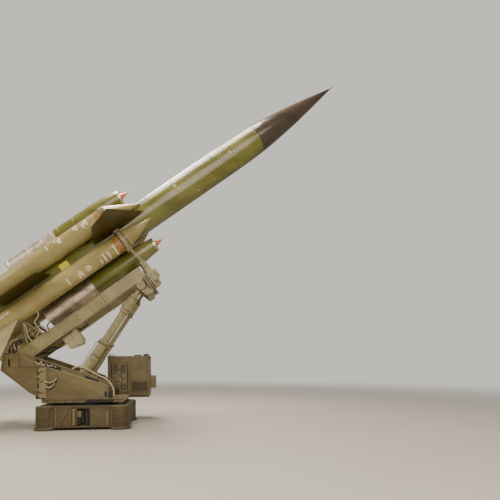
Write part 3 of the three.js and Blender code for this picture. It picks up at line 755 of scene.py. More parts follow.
def piece(name: str, skins: Skin | list[Skin], finish: Finish, body: str, stands_for: Sequence[str] = (),
          bevel: float = 0.0, crease: float = 32.0, slot: Slot | None = None) -> None:
    """Makes a piece of the machine from its skins.

    Args:
        name: the piece's name.
        skins: its closed skins, in its body's frame.
        finish: its material and slot.
        body: the body that it rides on.
        stands_for: CAD nodes that it replaces.
        bevel: width of its rounded edges, or zero.
        crease: angle in degrees above which an edge stays sharp.
        slot: its slot, where that isn't its finish's own; not used.
    """
    rides = Body(body)
    skin = (merged(*skins) if isinstance(skins, list) else skins).placed(frame_of(rides))
    mesh = bpy.data.meshes.new(name)
    mesh.vertices.add(len(skin.points))
    mesh.vertices.foreach_set("co", skin.points.astype(np.float32).ravel())
    mesh.loops.add(len(skin.loops))
    mesh.loops.foreach_set("vertex_index", skin.loops.astype(np.int32))
    mesh.polygons.add(len(skin.sizes))
    starts = np.concatenate([[0], np.cumsum(skin.sizes)[:-1]])
    mesh.polygons.foreach_set("loop_start", starts.astype(np.int32))
    mesh.update(calc_edges=True)
    work = bmesh.new()
    work.from_mesh(mesh)
    bmesh.ops.remove_doubles(work, verts=work.verts, dist=WELD)
    bmesh.ops.recalc_face_normals(work, faces=work.faces)
    work.to_mesh(mesh)
    work.free()
    mesh.shade_smooth()
    mesh.set_sharp_from_angle(angle=math.radians(crease))
    mesh.materials.append(finish.material)
    made = bpy.data.objects.new(name, mesh)
    bpy.context.scene.collection.objects.link(made)
    if bevel:
        edges = made.modifiers.new("edges", "BEVEL")
        edges.width = bevel
        edges.segments = 2
        edges.limit_method = "ANGLE"
        edges.angle_limit = math.radians(DRAWN_EDGE)
        edges.harden_normals = True
    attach(made, rides.value)
    if stands_for:
        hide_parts(*stands_for)
    log.info("%s: %d faces on %s", name, len(mesh.polygons), rides.value)


@dataclass
class Fuselage:
    """Probe, radome and the long painted body with its joints, hatches and lugs."""

    joint_gap: float = 0.0016
    rim: float = 0.004
    screw: float = 0.0065
    # station, radius and number of the screws round each joint
    joints: Rows = (
        (2.045, 0.2596, 24), (2.61, 0.2728, 24), (2.65, 0.273, 24), (2.885, 0.273, 28), (2.935, 0.273, 28),
        (3.885, 0.273, 28), (3.925, 0.273, 28), (6.945, 0.273, 28), (6.98, 0.273, 28))
    # first and last station, first and last angle in degrees
    hatches: Rows = ((2.72, 2.86, 168.0, 192.0), (3.30, 3.62, 120.0, 148.0), (4.02, 4.34, 170.0, 205.0),
                     (3.30, 3.62, 32.0, 60.0), (4.02, 4.34, -25.0, 10.0))
    # station, angle in degrees and radius of each boss on the right side
    bosses: Rows = ((2.693, 180.0, 0.03), (3.033, 149.0, 0.026), (3.908, 169.0, 0.034), (3.935, 154.0, 0.014),
                    (3.19, 231.5, 0.016), (3.562, 231.5, 0.02))

    def section(self, start: float, end: float, grooves: Sequence[float]) -> Skin:
        """Returns a straight body section between two stations, its rims turned in at the joints."""
        r = LAYOUT.body_r
        x0, x1 = LAYOUT.at(start) - self.joint_gap, LAYOUT.at(end) + self.joint_gap
        line = grooved(x0 - self.rim, x1 + self.rim, r, [LAYOUT.at(g) for g in grooves])
        return turned([(x0, 0), (x0, r - self.rim), *line, (x1, r - self.rim), (x1, 0)], 96, 0, LAYOUT.axis)

    def nose(self) -> None:
        """Builds the probe and the radome, an ogive through measured radii."""
        tip = [(0.0, 0.0), (0.004, 0.0035), (0.11, 0.008), (0.165, 0.0125), (0.168, 0.0175), (0.178, 0.0185),
               (0.18, 0.017), (0.18, 0.0)]
        piece("nose_probe_turned", hull(tip, 32), PAINTS.bare, Body.ARM, ["nose_probe"])
        ogive = spline([(0.1805, 0.0185), (0.3, 0.036), (0.56, 0.08), (0.87, 0.13), (1.18, 0.175), (1.5, 0.213),
                        (1.78, 0.241), (2.012, 0.2578)], 8)
        radome = hull([(0.1805, 0.0), *ogive, (2.018, 0.254), (2.018, 0.0)], 128)
        piece("radome_shell", radome, PAINTS.radome, Body.ARM, ["radome"])

    def body(self) -> None:
        """Builds the three painted sections, with joints, screws and hatches."""
        r = LAYOUT.body_r
        front = spline([(2.026, 0.2588), (2.15, 0.2638), (2.3, 0.268), (2.46, 0.2712), (2.625, 0.273)], 5)
        profile = [(2.021, 0), (2.021, 0.255), *front, (2.629, 0.269), (2.629, 0)]
        piece("forebody_shell", hull(profile, 96), PAINTS.olive, Body.ARM, ["forebody"])
        middle = self.section(2.63, 6.96, (2.91, 3.905, 4.47, 5.9, 6.42))
        piece("midbody_shell", middle, PAINTS.olive, Body.ARM, ["midbody"])
        tail = eased([(7.18, r), (7.62, 0.237), (7.668, 0.2325), (7.668, 0.206), (7.56, 0.196), (7.56, 0.0)], 0.012)
        profile = [(6.9615, 0), (6.9615, r - self.rim), (6.966, r), *tail]
        piece("tailbody_shell", hull(profile, 96), PAINTS.olive, Body.ARM, ["tailbody"])
        screws = [studs(*ring_places(LAYOUT.at(station), radius, count, 0, LAYOUT.axis, 0.07), self.screw)
                  for station, radius, count in self.joints]
        piece("body_joint_screws", screws, PAINTS.bare, Body.ARM)
        piece("body_hatches", [coat(*hatch, r, 0.0016) for hatch in self.hatches], PAINTS.olive, Body.ARM)

    def fittings(self) -> None:
        """Builds the pale handling bosses, the dark vents beside the top line and the yellow patches."""
        r = LAYOUT.body_r
        left = np.array(self.bosses)
        stations, angles, sizes = np.concatenate([left, left * (1, -1, 1) + (0, 180, 0)]).T
        angles = np.radians(angles)
        out = np.stack([0 * angles, np.cos(angles), np.sin(angles)], axis=1)
        places = out * (r - 0.002) + np.stack([LAYOUT.at(stations), 0 * angles, 0 * angles + LAYOUT.axis], axis=1)
        parts = [turned([(0, q), (0.006, q), (0.009, 0.9 * q), (0.009, 0.4 * q), (0.004, 0.33 * q), (0.004, 0)],
                        24).tiled(aimed(spot, way)) for spot, way, q in zip(places, out, sizes)]
        piece("handling_bosses", parts, PAINTS.sage, Body.ARM, slot=Slot.OLIVE)
        slots = [coat(s, s + 0.046, a - 1.9, a + 1.9, r) for s in np.arange(3.11, 3.7, 0.074) for a in (158.0, 22.0)]
        piece("body_vents", slots, PAINTS.black, Body.ARM)
        spots = [coat(6.26, 6.43, a - 14, a + 14, r, 0.0008) for a in (182.0, -2.0)]
        piece("yellow_patches", spots, PAINTS.yellow, Body.ARM)

    def build(self) -> None:
        """Builds the whole fuselage."""
        self.nose()
        self.body()
        self.fittings()


@dataclass
class Surfaces:
    """The two twisting wings and the two fixed tailplanes."""

    wing_root: float = 0.282
    wing_break: float = 1.11
    wing_tip: float = 1.4
    wing_axis: float = 5.24
    tail_root: float = 0.2733
    tail_tip: float = 0.83

    def set_on(self, skin: Skin, side: Side) -> Skin:
        """Returns a surface made in stations and spans, set on one side of the fuselage."""
        matrix = np.diag([-1.0, side.value, 1.0, 1.0])
        matrix[:3, 3] = LAYOUT.nose, 0.0, LAYOUT.axis
        return skin.placed(matrix)

    def wing(self, side: Side) -> None:
        """Builds one wing: swept leading edge, clipped tip, and a spigot at its root."""
        ends = self.wing_root, self.wing_tip
        span = np.concatenate([np.linspace(self.wing_root, self.wing_break, 16), np.linspace(1.13, 1.395, 8)])
        lead = np.interp(span, ends, [4.64, self.wing_axis])
        trail = np.interp(span, [self.wing_root, self.wing_break, self.wing_tip], [5.71, 5.59, self.wing_axis])
        half = np.interp(span, ends, [0.024, 0.009])
        half = half * np.minimum(1.0, (trail - lead) / 0.12)
        panel = blade(span, lead, trail, half, 0.62, 36)
        spigot = rod((self.wing_axis, self.tail_root, 0), (self.wing_axis, self.wing_root + 0.004, 0), 0.022)
        name = side.name.lower()
        piece(f"wing_{name}_skin", self.set_on(merged(panel, spigot), side), PAINTS.green, f"wing_{name}",
              [f"wing_{name}"], crease=24)
        rows = np.concatenate([np.linspace([5.0, 0.34], [5.34, 1.0], 18), np.linspace([5.5, 0.32], [5.45, 1.0], 18),
                               np.linspace([4.86, 0.3], [5.66, 0.3], 20)])
        flat = np.column_stack([rows, np.interp(rows[:, 1], ends, [0.0228, 0.0088])])
        heads = both_faces(flat, 2, 0.005, 0.0018)
        piece(f"wing_{name}_screws", self.set_on(heads, side), PAINTS.green, f"wing_{name}")

    def tailplane(self, side: Side) -> None:
        """Builds one fixed tailplane with the same sharp-edged section."""
        ends = self.tail_root, self.tail_tip
        span = np.linspace(*ends, 16)
        lead = np.interp(span, ends, [6.61, 6.75])
        half = np.interp(span, ends, [0.013, 0.008])
        panel = blade(span, lead, np.full(16, 7.56), half, 0.75, 32)
        name = side.name.lower()
        piece(f"tailplane_{name}_skin", self.set_on(panel, side), PAINTS.green, Body.ARM,
              [f"tailplane_{name}"], crease=24)

    def build(self) -> None:
        """Builds both sides."""
        for side in Side:
            self.wing(side)
            self.tailplane(side)


@dataclass
class Ramjets:
    """The two ramjet engines, each a painted cowl, an intake spike, a steel pipe and a pylon."""

    offset: float = 0.525
    radius: float = 0.17
    pipe_radius: float = 0.166
    pylon_half: float = 0.0238

    def engine(self, name: str, way: int) -> None:
        """Builds one engine above (way 1) or below (way -1) the fuselage."""
        z = LAYOUT.axis + way * self.offset
        outside = spline([(4.802, 0.1265), (4.86, 0.133), (5.0, 0.149), (5.15, 0.161), (5.35, 0.1685),
                          (5.5, self.radius)], 5)
        cowl = [(5.06, 0.0), (5.06, 0.108), (4.802, 0.1215), *outside,
                *grooved(5.52, 6.148, self.radius, (5.74, 6.06)), (6.154, 0.166), (6.154, 0.0)]
        lip = eased([(4.842, 0.1325), (4.7985, 0.1275), (4.7985, 0.1215), (4.842, 0.1195), (4.842, 0.1318)], 0.002)
        lining = [(4.845, 0.1188), (5.055, 0.1075), (5.055, 0.1055), (4.845, 0.1168)]
        cone = spline([(4.64, 0.009), (4.72, 0.034), (4.785, 0.055), (4.85, 0.072), (4.95, 0.08), (5.0595, 0.082)], 5)
        needle = [(4.5, 0.0), (4.502, 0.002), (4.6, 0.0066), (4.655, 0.0145), (4.665, 0.0), (4.665, 0.0)]
        for part, profile, count, ringed, finish, node in (
                ("cowl_shell", cowl, 80, False, PAINTS.olive, "cowl"), ("lip", lip[:-1], 80, True, PAINTS.bare, ""),
                ("lining", lining, 64, True, PAINTS.copper, ""),
                ("cone", [(4.64, 0.0), *cone, (5.0595, 0.0)], 64, False, PAINTS.copper, "spike"),
                ("needle", needle, 24, False, PAINTS.bare, "")):
            piece(f"ramjet_{name}_{part}", hull(profile, count, 0, z, ringed), finish, Body.ARM,
                  [f"ramjet_{node}_{name}"] if node else [])
        self.pipe(name, z)
        self.pylon(name, way)

    def pipe(self, name: str, z: float) -> None:
        """Builds the steel pipe with weld beads, a rear flange and its burner inside."""
        at, r = LAYOUT.at, self.pipe_radius
        beads = [(s + ds, r + dr) for s in (6.42, 6.70, 6.98)
                 for ds, dr in ((-0.006, 0), (-0.003, 0.0025), (0.003, 0.0025), (0.006, 0))]
        line = [(6.1565, 0), (6.1565, r - 0.003), (6.16, r), (6.2, r), (6.203, r + 0.003), (6.222, r + 0.003),
                (6.225, r), *beads, (7.1, r), (7.108, 0.172), (7.146, 0.172), (7.15, 0.169), (7.15, 0.158),
                (7.147, 0.155), (6.8, 0.146), (6.8, 0)]
        piece(f"ramjet_{name}_pipe_shell", hull(line, 80, 0, z), PAINTS.hot_steel, Body.ARM, [f"ramjet_pipe_{name}"])
        gutters = [hull([(6.86, q), (6.82, q + 0.012), (6.86, q + 0.02), (6.83, q + 0.012)], 40, 0, z, True)
                   for q in (0.04, 0.085)]
        struts = [rod((at(6.84), 0.13 * c, z + 0.13 * s), (at(6.84), -0.13 * c, z - 0.13 * s), 0.005, 8)
                  for c, s in circle(8).T[:4]]
        piece(f"ramjet_{name}_burner", [*gutters, *struts], PAINTS.black, Body.ARM)
        places, out = ring_places(at(7.127), 0.172, 16, 0, z)
        places_b, out_b = ring_places(at(6.212), 0.169, 24, 0, z)
        heads = merged(studs(places, out, 0.007, 0.003), studs(places_b, out_b, 0.005, 0.002))
        piece(f"ramjet_{name}_studs", heads, PAINTS.hot_steel, Body.ARM)

    def pylon(self, name: str, way: int) -> None:
        """Builds the thick pylon between the engine and the fuselage."""
        at = LAYOUT.at
        low = LAYOUT.axis + way * (LAYOUT.body_r + 0.001)
        high = LAYOUT.axis + way * (self.offset - self.radius - 0.001)
        web = prism([(at(5.33), high), (at(6.96), high), (at(6.96), low), (at(5.13), low)], -self.pylon_half,
                    self.pylon_half)
        piece(f"ramjet_{name}_pylon_web", web, PAINTS.olive, Body.ARM, [f"ramjet_pylon_{name}"], bevel=0.004)
        x = np.repeat(np.linspace(at(6.9), at(5.4), 16), 2)
        z = np.tile([low + way * 0.018, high - way * 0.018], 16)
        places = np.column_stack([x, np.full(32, self.pylon_half), z])
        heads = both_faces(places, 1, 0.006, 0.002)
        piece(f"ramjet_{name}_pylon_screws", heads, PAINTS.olive, Body.ARM)

    def build(self) -> None:
        """Builds both engines."""
        self.engine("upper", 1)
        self.engine("lower", -1)


@dataclass
class Boosters:
    """Four booster tubes with clamp rings, skewed nose fairings, nozzles and one large fin each."""

    out: float = 0.38
    up: float = 0.255
    radius: float = 0.16
    ring: float = 0.18
    fin_tip: float = 0.85
    strip_half: float = 0.0175
    strip_high: float = 0.03
    # station, width, first and last angle in degrees of each white bar
    low_bars: Rows = (
        (5.46, 0.022, -82, 2), (5.60, 0.02, -66, -12), (5.69, 0.02, -70, -8), (5.77, 0.02, -64, -30),
        (6.155, 0.02, -60, -20), (6.19, 0.02, -48, -8), (6.225, 0.02, -62, -26), (6.43, 0.022, -56, -10))
    high_bars: Rows = (
        (5.585, 0.022, 2, 48), (5.625, 0.02, 12, 40), (5.665, 0.022, -4, 30), (5.78, 0.02, 8, 46),
        (5.82, 0.02, 20, 46), (6.12, 0.022, 0, 46), (6.16, 0.02, 0, 30), (6.21, 0.02, 22, 46), (6.38, 0.022, 6, 40))

    def booster(self, name: str, y: int, n: int) -> None:
        """Builds one booster, y and n being the signs of its place across and above the axis."""
        cy, cz = y * self.out, LAYOUT.axis + n * self.up
        self.case(name, cy, cz, y, n)
        self.fairing(name, y, n)
        self.nozzle(name, cy, cz)
        self.fin(name, cy, cz, y, n)
        self.marks(name, cy, cz, y, n)

    def case(self, name: str, cy: float, cz: float, y: int, n: int) -> None:
        """Builds the tube, its ribbed clamp ring, tan band, rear strap and the pads on the fuselage."""
        at, r = LAYOUT.at, self.radius
        tube = [(5.3, 0.0), *grooved(5.3, 8.43, r, (5.345, 5.44, 6.9, 8.2)), (8.44, r - 0.006), (8.451, 0.12),
                (8.451, 0.0)]
        skins = [hull(tube, 80, cy, cz)]
        angle = math.atan2(n * self.up, y * self.out)
        reach = math.hypot(self.out, self.up)
        c, s = math.cos(angle), math.sin(angle)
        turn = np.array([[1, 0, 0, 0], [0, c, -s, 0], [0, s, c, LAYOUT.axis], [0, 0, 0, 1]], float)
        for front, rear in ((5.215, 5.315), (6.99, 7.07)):
            pad = box(at(rear), at(front), LAYOUT.body_r + 0.0005, reach - r + 0.03, -0.045, 0.045)
            skins.append(pad.placed(turn))
        piece(f"booster_{name}_tube", skins, PAINTS.booster, Body.ARM, [f"booster_case_{name}"])
        ribs = [(5.2005, 0.0), (5.2005, 0.166), (5.206, 0.172)]
        for s0 in (5.214, 5.246, 5.278):
            ribs += [(s0, 0.173), (s0 + 0.003, 0.1785), (s0 + 0.008, self.ring), (s0 + 0.018, self.ring),
                     (s0 + 0.023, 0.1785), (s0 + 0.026, 0.173)]
        ribs += [(5.318, 0.17), (5.33, 0.163), (5.33, 0.0)]
        piece(f"booster_{name}_clamp_ring", hull(ribs, 80, cy, cz), PAINTS.khaki, Body.ARM, slot=Slot.BOOSTER)
        band = coat(5.345, 5.43, 0, 360, r, 0.0006, cy, cz)
        piece(f"booster_{name}_tan_band", band, PAINTS.tan, Body.ARM)
        outward = 20 * n + (180 if y < 0 else 0)
        strap = [hull([(7.07, 0.159), (7.07, 0.1625), (7.06, 0.1635), (7.0, 0.1635), (6.99, 0.1625), (6.99, 0.159)],
                      64, cy, cz, True), coat(7.005, 7.055, outward - 14, outward + 6, 0.1635, 0.012, cy, cz)]
        piece(f"booster_{name}_strap", strap, PAINTS.booster, Body.ARM)

    def fairing(self, name: str, y: int, n: int) -> None:
        """Builds the skewed nose: circles whose centre moves out from the fuselage as they grow."""
        rows = spline([(4.606, 0.2815, 0.0), (4.615, 0.2845, 0.009), (4.75, 0.327, 0.045), (4.9, 0.3745, 0.0875),
                       (5.05, 0.4187, 0.126), (5.13, 0.4409, 0.146), (5.199, 0.4576, 0.16)], 5)
        reach = math.hypot(self.out, self.up)
        c, s = circle(64)
        station, centre, r = rows[:, :1], rows[:, 1:2], rows[:, 2:3]
        ring = np.stack([np.broadcast_to(LAYOUT.nose - station, (len(rows), 64)),
                         y * self.out / reach * centre + r * c, LAYOUT.axis + n * self.up / reach * centre + r * s],
                        axis=-1)
        piece(f"booster_{name}_fairing", lattice(ring), PAINTS.booster, Body.ARM, [f"booster_nose_{name}"])

    def nozzle(self, name: str, cy: float, cz: float) -> None:
        """Builds the bell: throat inside, flaring wall and a rolled rim."""
        bell = spline([(8.4525, 0.074), (8.49, 0.081), (8.53, 0.094), (8.556, 0.1065)], 5)
        inside = spline([(8.556, 0.1), (8.52, 0.083), (8.49, 0.066), (8.48, 0.05)], 5)
        line = [(8.4525, 0.0), *bell, (8.5595, 0.1075), (8.5595, 0.1015), *inside, (8.48, 0.0)]
        piece(f"booster_{name}_bell", hull(line, 56, cy, cz), PAINTS.black, Body.ARM, [f"booster_nozzle_{name}"])

    def fin(self, name: str, cy: float, cz: float, y: int, n: int) -> None:
        """Builds the fin that stands out at 45 degrees, with a root fairing strip and its screws."""
        root = self.radius * math.cos(math.pi / 28) + 0.0006
        span = np.linspace(root, self.fin_tip, 18)
        lead = np.interp(span, [root, self.fin_tip], [7.48, 8.02])
        half = np.interp(span, [root, self.fin_tip], [0.014, 0.008])
        panel = blade(span, lead, np.full(18, 8.44), half, 0.7, 32)
        strip = box(7.62, 8.42, root, root + self.strip_high, -self.strip_half, self.strip_half)
        rows = np.concatenate(
            [np.linspace([7.66, root + 0.015], [8.4, root + 0.015], 14), np.linspace([7.75, 0.24], [8.13, 0.8], 12),
             np.linspace([8.36, 0.24], [8.36, 0.8], 12)])
        side = np.interp(rows[:, 1], [root, root + self.strip_high - SUNK, root + self.strip_high, self.fin_tip],
                         [self.strip_half, self.strip_half, 0.0136, 0.0078])
        flat = np.column_stack([rows, side])
        heads = both_faces(flat, 2, 0.006, 0.002)
        angle = math.atan2(n, y)
        c, s = math.cos(angle), math.sin(angle)
        turn = np.array([[-1, 0, 0, LAYOUT.nose], [0, c, -s, cy], [0, s, c, cz], [0, 0, 0, 1]], float)
        piece(f"booster_{name}_fin_skin", merged(panel, strip, heads).placed(turn), PAINTS.fin_lit_cream, Body.ARM,
              [f"booster_fin_{name}"], crease=24)

    def marks(self, name: str, cy: float, cz: float, y: int, n: int) -> None:
        """Builds plain white bars and a ring, as thin coats on the outward side of the tube."""
        at, r = LAYOUT.at, self.radius
        out = 180.0 if y < 0 else 0.0
        way = -1.0 if y < 0 else 1.0
        bars = [coat(s0, s0 + width, out + way * a0, out + way * a1, r, COAT, cy, cz)
                for s0, width, a0, a1 in (self.low_bars if n < 0 else self.high_bars)]
        if n < 0:
            u = np.linspace(0, 2 * math.pi, 40, endpoint=False)
            ring_r = np.array([0.046, 0.046, 0.03, 0.03])[None, :]
            lift = np.array([r - SUNK, r + COAT, r + COAT, r - SUNK])[None, :]
            angle = np.radians(out) + way * (np.radians(-33.0) + ring_r * np.sin(u)[:, None] / r)
            bars.append(lattice(np.stack([at(6.03) + ring_r * np.cos(u)[:, None], cy + lift * np.cos(angle),
                                          cz + lift * np.sin(angle)], axis=-1), ringed=True))
            bars.append(coat(6.018, 6.042, out + way * -37, out + way * -29, r, COAT, cy, cz))
        piece(f"booster_{name}_marks", bars, PAINTS.white, Body.ARM)

    def build(self) -> None:
        """Builds all four."""
        for name, y, n in (("upper_right", -1, 1), ("lower_right", -1, -1), ("upper_left", 1, 1),
                           ("lower_left", 1, -1)):
            self.booster(name, y, n)


@dataclass
class LaunchArm:
    """Launching beams, crosshead, front supports, rear cradle and the pipes and cables between them."""

    beam_in: float = 0.295
    beam_out: float = 0.405
    half: float = 0.108
    front: float = 2.65
    sleeve: float = 1.88
    drum_z: float = -0.208
    drum_r: float = 0.157
    trunnion: float = 0.06
    booster_y: float = 0.38
    booster_z: float = 0.63
    drum_y: float = 0.35
    tip: tuple[float, float] = (0.362, -0.158)
    # lower rear corner of each clip on a beam's outer side
    clips: Rows = ((0.42, 0.055), (0.62, -0.06), (0.95, 0.06), (1.28, -0.02), (1.58, 0.05), (1.70, -0.07))

    def beam(self, side: Side) -> None:
        """Builds one box beam: rounded rear eye, sleeved front half, seams, clips and bolts."""
        s, name = side.value, side.name.lower()
        half, outer, lap, sleeve = self.half, s * self.beam_out, self.half + 0.004, self.sleeve
        angle = np.linspace(math.pi / 2, 3 * math.pi / 2, 17)
        rear = half * np.column_stack([np.cos(angle), np.sin(angle)])
        outline = np.vstack([rear, [[self.front, -half], [self.front, half]]])
        shell = [prism(outline, s * self.beam_in, outer),
                 box(sleeve, self.front - 0.003, s * (self.beam_in - 0.004), outer + s * 0.005, -lap, lap),
                 box(sleeve, sleeve + 0.03, s * (self.beam_in - 0.008), outer + s * 0.01, -lap - 0.004, lap + 0.004)]
        piece(f"beam_{name}_box", shell, PAINTS.khaki_pale, Body.ARM, [f"beam_{name}"], bevel=0.007)
        eye = turned_across([(outer - s * 0.002, 0.0), (outer - s * 0.002, 0.1), (outer + s * 0.012, 0.1),
                             (outer + s * 0.016, 0.096), (outer + s * 0.016, 0.0)], 0.0, 0.0, 48)
        clips = slabs([(x, x + 0.05, z, z + 0.03) for x, z in self.clips], outer, outer + s * 0.012)
        piece(f"beam_{name}_clips", [eye, *clips], PAINTS.khaki_pale, Body.ARM, bevel=0.0015)
        edge = half - 0.017
        seams = slabs([(0.62, sleeve - 0.005, edge - 0.005, edge), (sleeve - 0.009, sleeve - 0.001, -0.1, 0.1),
                       *[(x, x + 0.005, -0.085, 0.06) for x in (0.43, 1.315, 1.345, 1.6)],
                       *[(x, x + 0.004, 0.0, 0.082) for x in np.linspace(0.68, 0.85, 6)]], outer, outer + s * 0.0012)
        seams += slabs([(x, x + 0.014, half - 0.016, half - 0.004)
                        for x in (0.75, 0.93, 1.11, 1.23, 1.42, 1.55, 1.7, 1.8)], outer, outer + s * 0.004)
        piece(f"beam_{name}_seams", seams, PAINTS.black, Body.ARM)
        heads = np.vstack([grid(np.linspace(0.2, 1.8, 9), outer, (0.075, -0.075)),
                           grid((1.93, 2.40, 2.61), outer + s * 0.005, np.linspace(-0.085, 0.085, 5))])
        piece(f"beam_{name}_bolts", bolts(heads, (0, s, 0), 0.0085), PAINTS.khaki, Body.ARM)

    def ties(self) -> None:
        """Builds the stepped trunnion tube and the flanged tie at mid length."""
        r = self.trunnion
        tube = [(-0.4965, 0.0), (-0.4965, r - 0.004), (-0.493, r), (-0.296, r), (-0.2945, 0.084), (0.2945, 0.084),
                (0.296, r), (0.493, r), (0.4965, r - 0.004), (0.4965, 0.0)]
        piece("trunnion_tube_turned", turned_across(tube, 0.0, 0.0, 48), PAINTS.khaki, Body.ARM, ["trunnion_tube"])
        y = self.beam_in - 0.0005
        skins = [box(1.18, 1.33, -y, y, -0.07, 0.07)]
        skins += [box(1.165, 1.345, s * y, s * (y - 0.012), -0.09, 0.09) for s in (-1, 1)]
        skins += [prism([(1.19, 0.07), (1.32, 0.07), (1.32, 0.09), (1.19, 0.09)], y - 0.012, -y + 0.012)]
        piece("beam_tie_flanged", skins, PAINTS.khaki, Body.ARM, ["beam_tie"], bevel=0.003)

    def head_side(self, side: Side) -> list[Skin]:
        """Returns one side of the crosshead: end cap, fork, hub, ribbed drum, tip plates and nut."""
        s, y, z = side.value, LAYOUT.strut_y, self.drum_z
        fork = eased([(2.462, -0.1085), (2.6505, -0.1085), (2.6505, -0.05), (2.708, -0.05), (2.708, -0.25),
                      (2.655, -0.392), (2.529, -0.392), (2.5, -0.3)], 0.02, 5, True)
        tip = eased([(2.755, -0.1205), (2.8685, -0.1205), (2.8685, -0.067), (2.925, -0.067), (2.925, -0.205),
                     (2.88, -0.25), (2.8, -0.25), (2.755, -0.205)], 0.014, 4, True)
        r, groove, tip_y, tip_z = self.drum_r, self.drum_r - 0.015, *self.tip
        ribbed = [(2.656, 0.0), (2.656, r - 0.006), (2.660, r), (2.676, r), (2.679, groove), (2.695, groove),
                  (2.698, r), (2.714, r), (2.717, groove), (2.733, groove), (2.736, r), (2.760, r),
                  (2.765, r - 0.006), (2.765, 0.132), (2.758, 0.126), (2.758, 0.0)]
        hx, hz = LAYOUT.head_pin
        hub = [(s * (y + 0.074), 0.0), (s * (y + 0.074), 0.078), (s * (y + 0.096), 0.078), (s * (y + 0.1), 0.072),
               (s * (y + 0.1), 0.03), (s * (y + 0.094), 0.026), (s * (y + 0.094), 0.0)]
        web = eased([(2.54, -0.3), (2.6, -0.27), (2.69, -0.27), (2.69, -0.33), (2.64, -0.385), (2.54, -0.385)],
                    0.02, 4, True)
        c, d = circle(6)
        cap_bolts = np.column_stack([hx + 0.047 * c, np.full(6, s * (y + 0.1)), hz + 0.047 * d])
        drum_bolts, _ = ring_places(2.765, 0.144, 12, s * self.drum_y, z)
        return [box(self.front + 0.0005, 2.71, s * self.beam_in, s * self.beam_out, -self.half, 0.099),
                *[prism(fork, s * (y + a), s * (y + b)) for a, b in ((-0.076, -0.046), (0.046, 0.076))],
                prism(web, s * (y + 0.076), s * (y + 0.084)), turned_across(hub, hx, hz, 40),
                turned(ribbed, 64, s * self.drum_y, z),
                *[prism(tip, s * a, s * b) for a, b in ((0.318, 0.34), (0.384, 0.406))],
                turned(band(2.755, 2.871, 0.0, 0.036), 24, s * tip_y, tip_z),
                turned([(2.870, 0.0), (2.870, 0.07), (2.876, 0.076), (2.918, 0.076), (2.924, 0.07), (2.924, 0.05),
                        (2.919, 0.047), (2.919, 0.0)], 8, s * tip_y, tip_z), bolts(cap_bolts, (0, s, 0), 0.008),
                bolts(drum_bolts, (1, 0, 0), 0.007),
                bolts(grid(2.68, s * self.beam_out, np.linspace(-0.08, 0.07, 4)), (0, s, 0), 0.009)]

    def crosshead(self) -> None:
        """Builds both sides of the crosshead and the tube, box and lugs between them."""
        lug = eased([(2.47, -0.11), (2.72, -0.11), (2.72, -0.3), (2.64, -0.33), (2.48, -0.26)], 0.025, 5, True)
        hx, hz = LAYOUT.head_pin
        skins = [*self.head_side(Side.RIGHT), *self.head_side(Side.LEFT),
                 rod((2.712, -0.3, self.drum_z), (2.712, 0.3, self.drum_z), 0.054, 40),
                 box(2.53, 2.654, -0.26, 0.26, -0.392, -0.347), box(2.50, 2.70, -0.2945, 0.2945, -0.112, -0.09)]
        # The black bands are painted shade: in the drum's grooves and in a ring round each hub
        dark = []
        for s in (-1, 1):
            skins += [prism(lug, s * 0.046, s * 0.076),
                      turned_across(band(s * 0.075, s * 0.088, 0.0, 0.05), hx,
                                    hz, 32)]
            dark += [turned(band(x, x + 0.014, 0.1415, 0.1435), 64,
                            s * self.drum_y, self.drum_z, True) for x in (2.680, 2.718)]
            near, far = (s * (LAYOUT.strut_y + lift) for lift in (0.0765, 0.0785))
            dark.append(turned_across(band(near, far, 0.077, 0.088), hx, hz, 48, True))
        piece("crosshead_fabricated", skins, PAINTS.khaki_pale, Body.ARM, ["crosshead"], bevel=0.0025)
        piece("crosshead_grooves", dark, PAINTS.black, Body.ARM)

    def support(self, side: Side) -> None:
        """Builds one front support: block, slim leg, saddle and the clamp round the booster's outer side."""
        s, name = side.value, side.name.lower()
        y = s * self.tip[0]
        by, bz = s * self.booster_y, self.booster_z
        block = eased([(2.7655, -0.12), (2.868, -0.12), (2.868, 0.12), (2.845, 0.158), (2.7655, 0.158)], 0.012, 4,
                      True)
        bottom = bz - 0.18
        low, high = (270.0, 112.0) if s < 0 else (-90.0, 68.0)
        end = math.radians(high)
        knob = np.array([LAYOUT.at(5.265), by + 0.205 * math.cos(end), bz + 0.205 * math.sin(end)])
        skins = [
            prism(block, y - 0.05, y + 0.05), rod((2.817, y, 0.13), (2.779, by, bottom - 0.012), 0.02, 24),
            rod((2.817, y, 0.148), (2.811, y, 0.2), 0.031, 24, 0.004),
            rod((2.785, by - s * 0.002, bottom - 0.075), (2.779, by, bottom - 0.012), 0.03, 24, 0.004),
            coat(5.215, 5.315, 240.0, 300.0, 0.1815, 0.032, by, bz),
            coat(5.235, 5.295, low, high, 0.1815, 0.018, by, bz),
            rod(knob - [0.052, 0, 0], knob + [0.052, 0, 0], 0.021, 24, 0.004),
            rod(knob - [0.06, 0, 0], knob + [0.06, 0, 0], 0.011, 6),
            turned_across(band(y - 0.058, y + 0.058, 0.0, 0.036), 2.817, 0.085, 32),
            bolts(grid((2.79, 2.843), y + s * 0.05, (-0.09, -0.02, 0.04)), (0, s, 0), 0.009)]
        piece(f"support_arm_{name}_fitted", skins, PAINTS.khaki_pale, Body.ARM, [f"support_arm_{name}"], bevel=0.002)

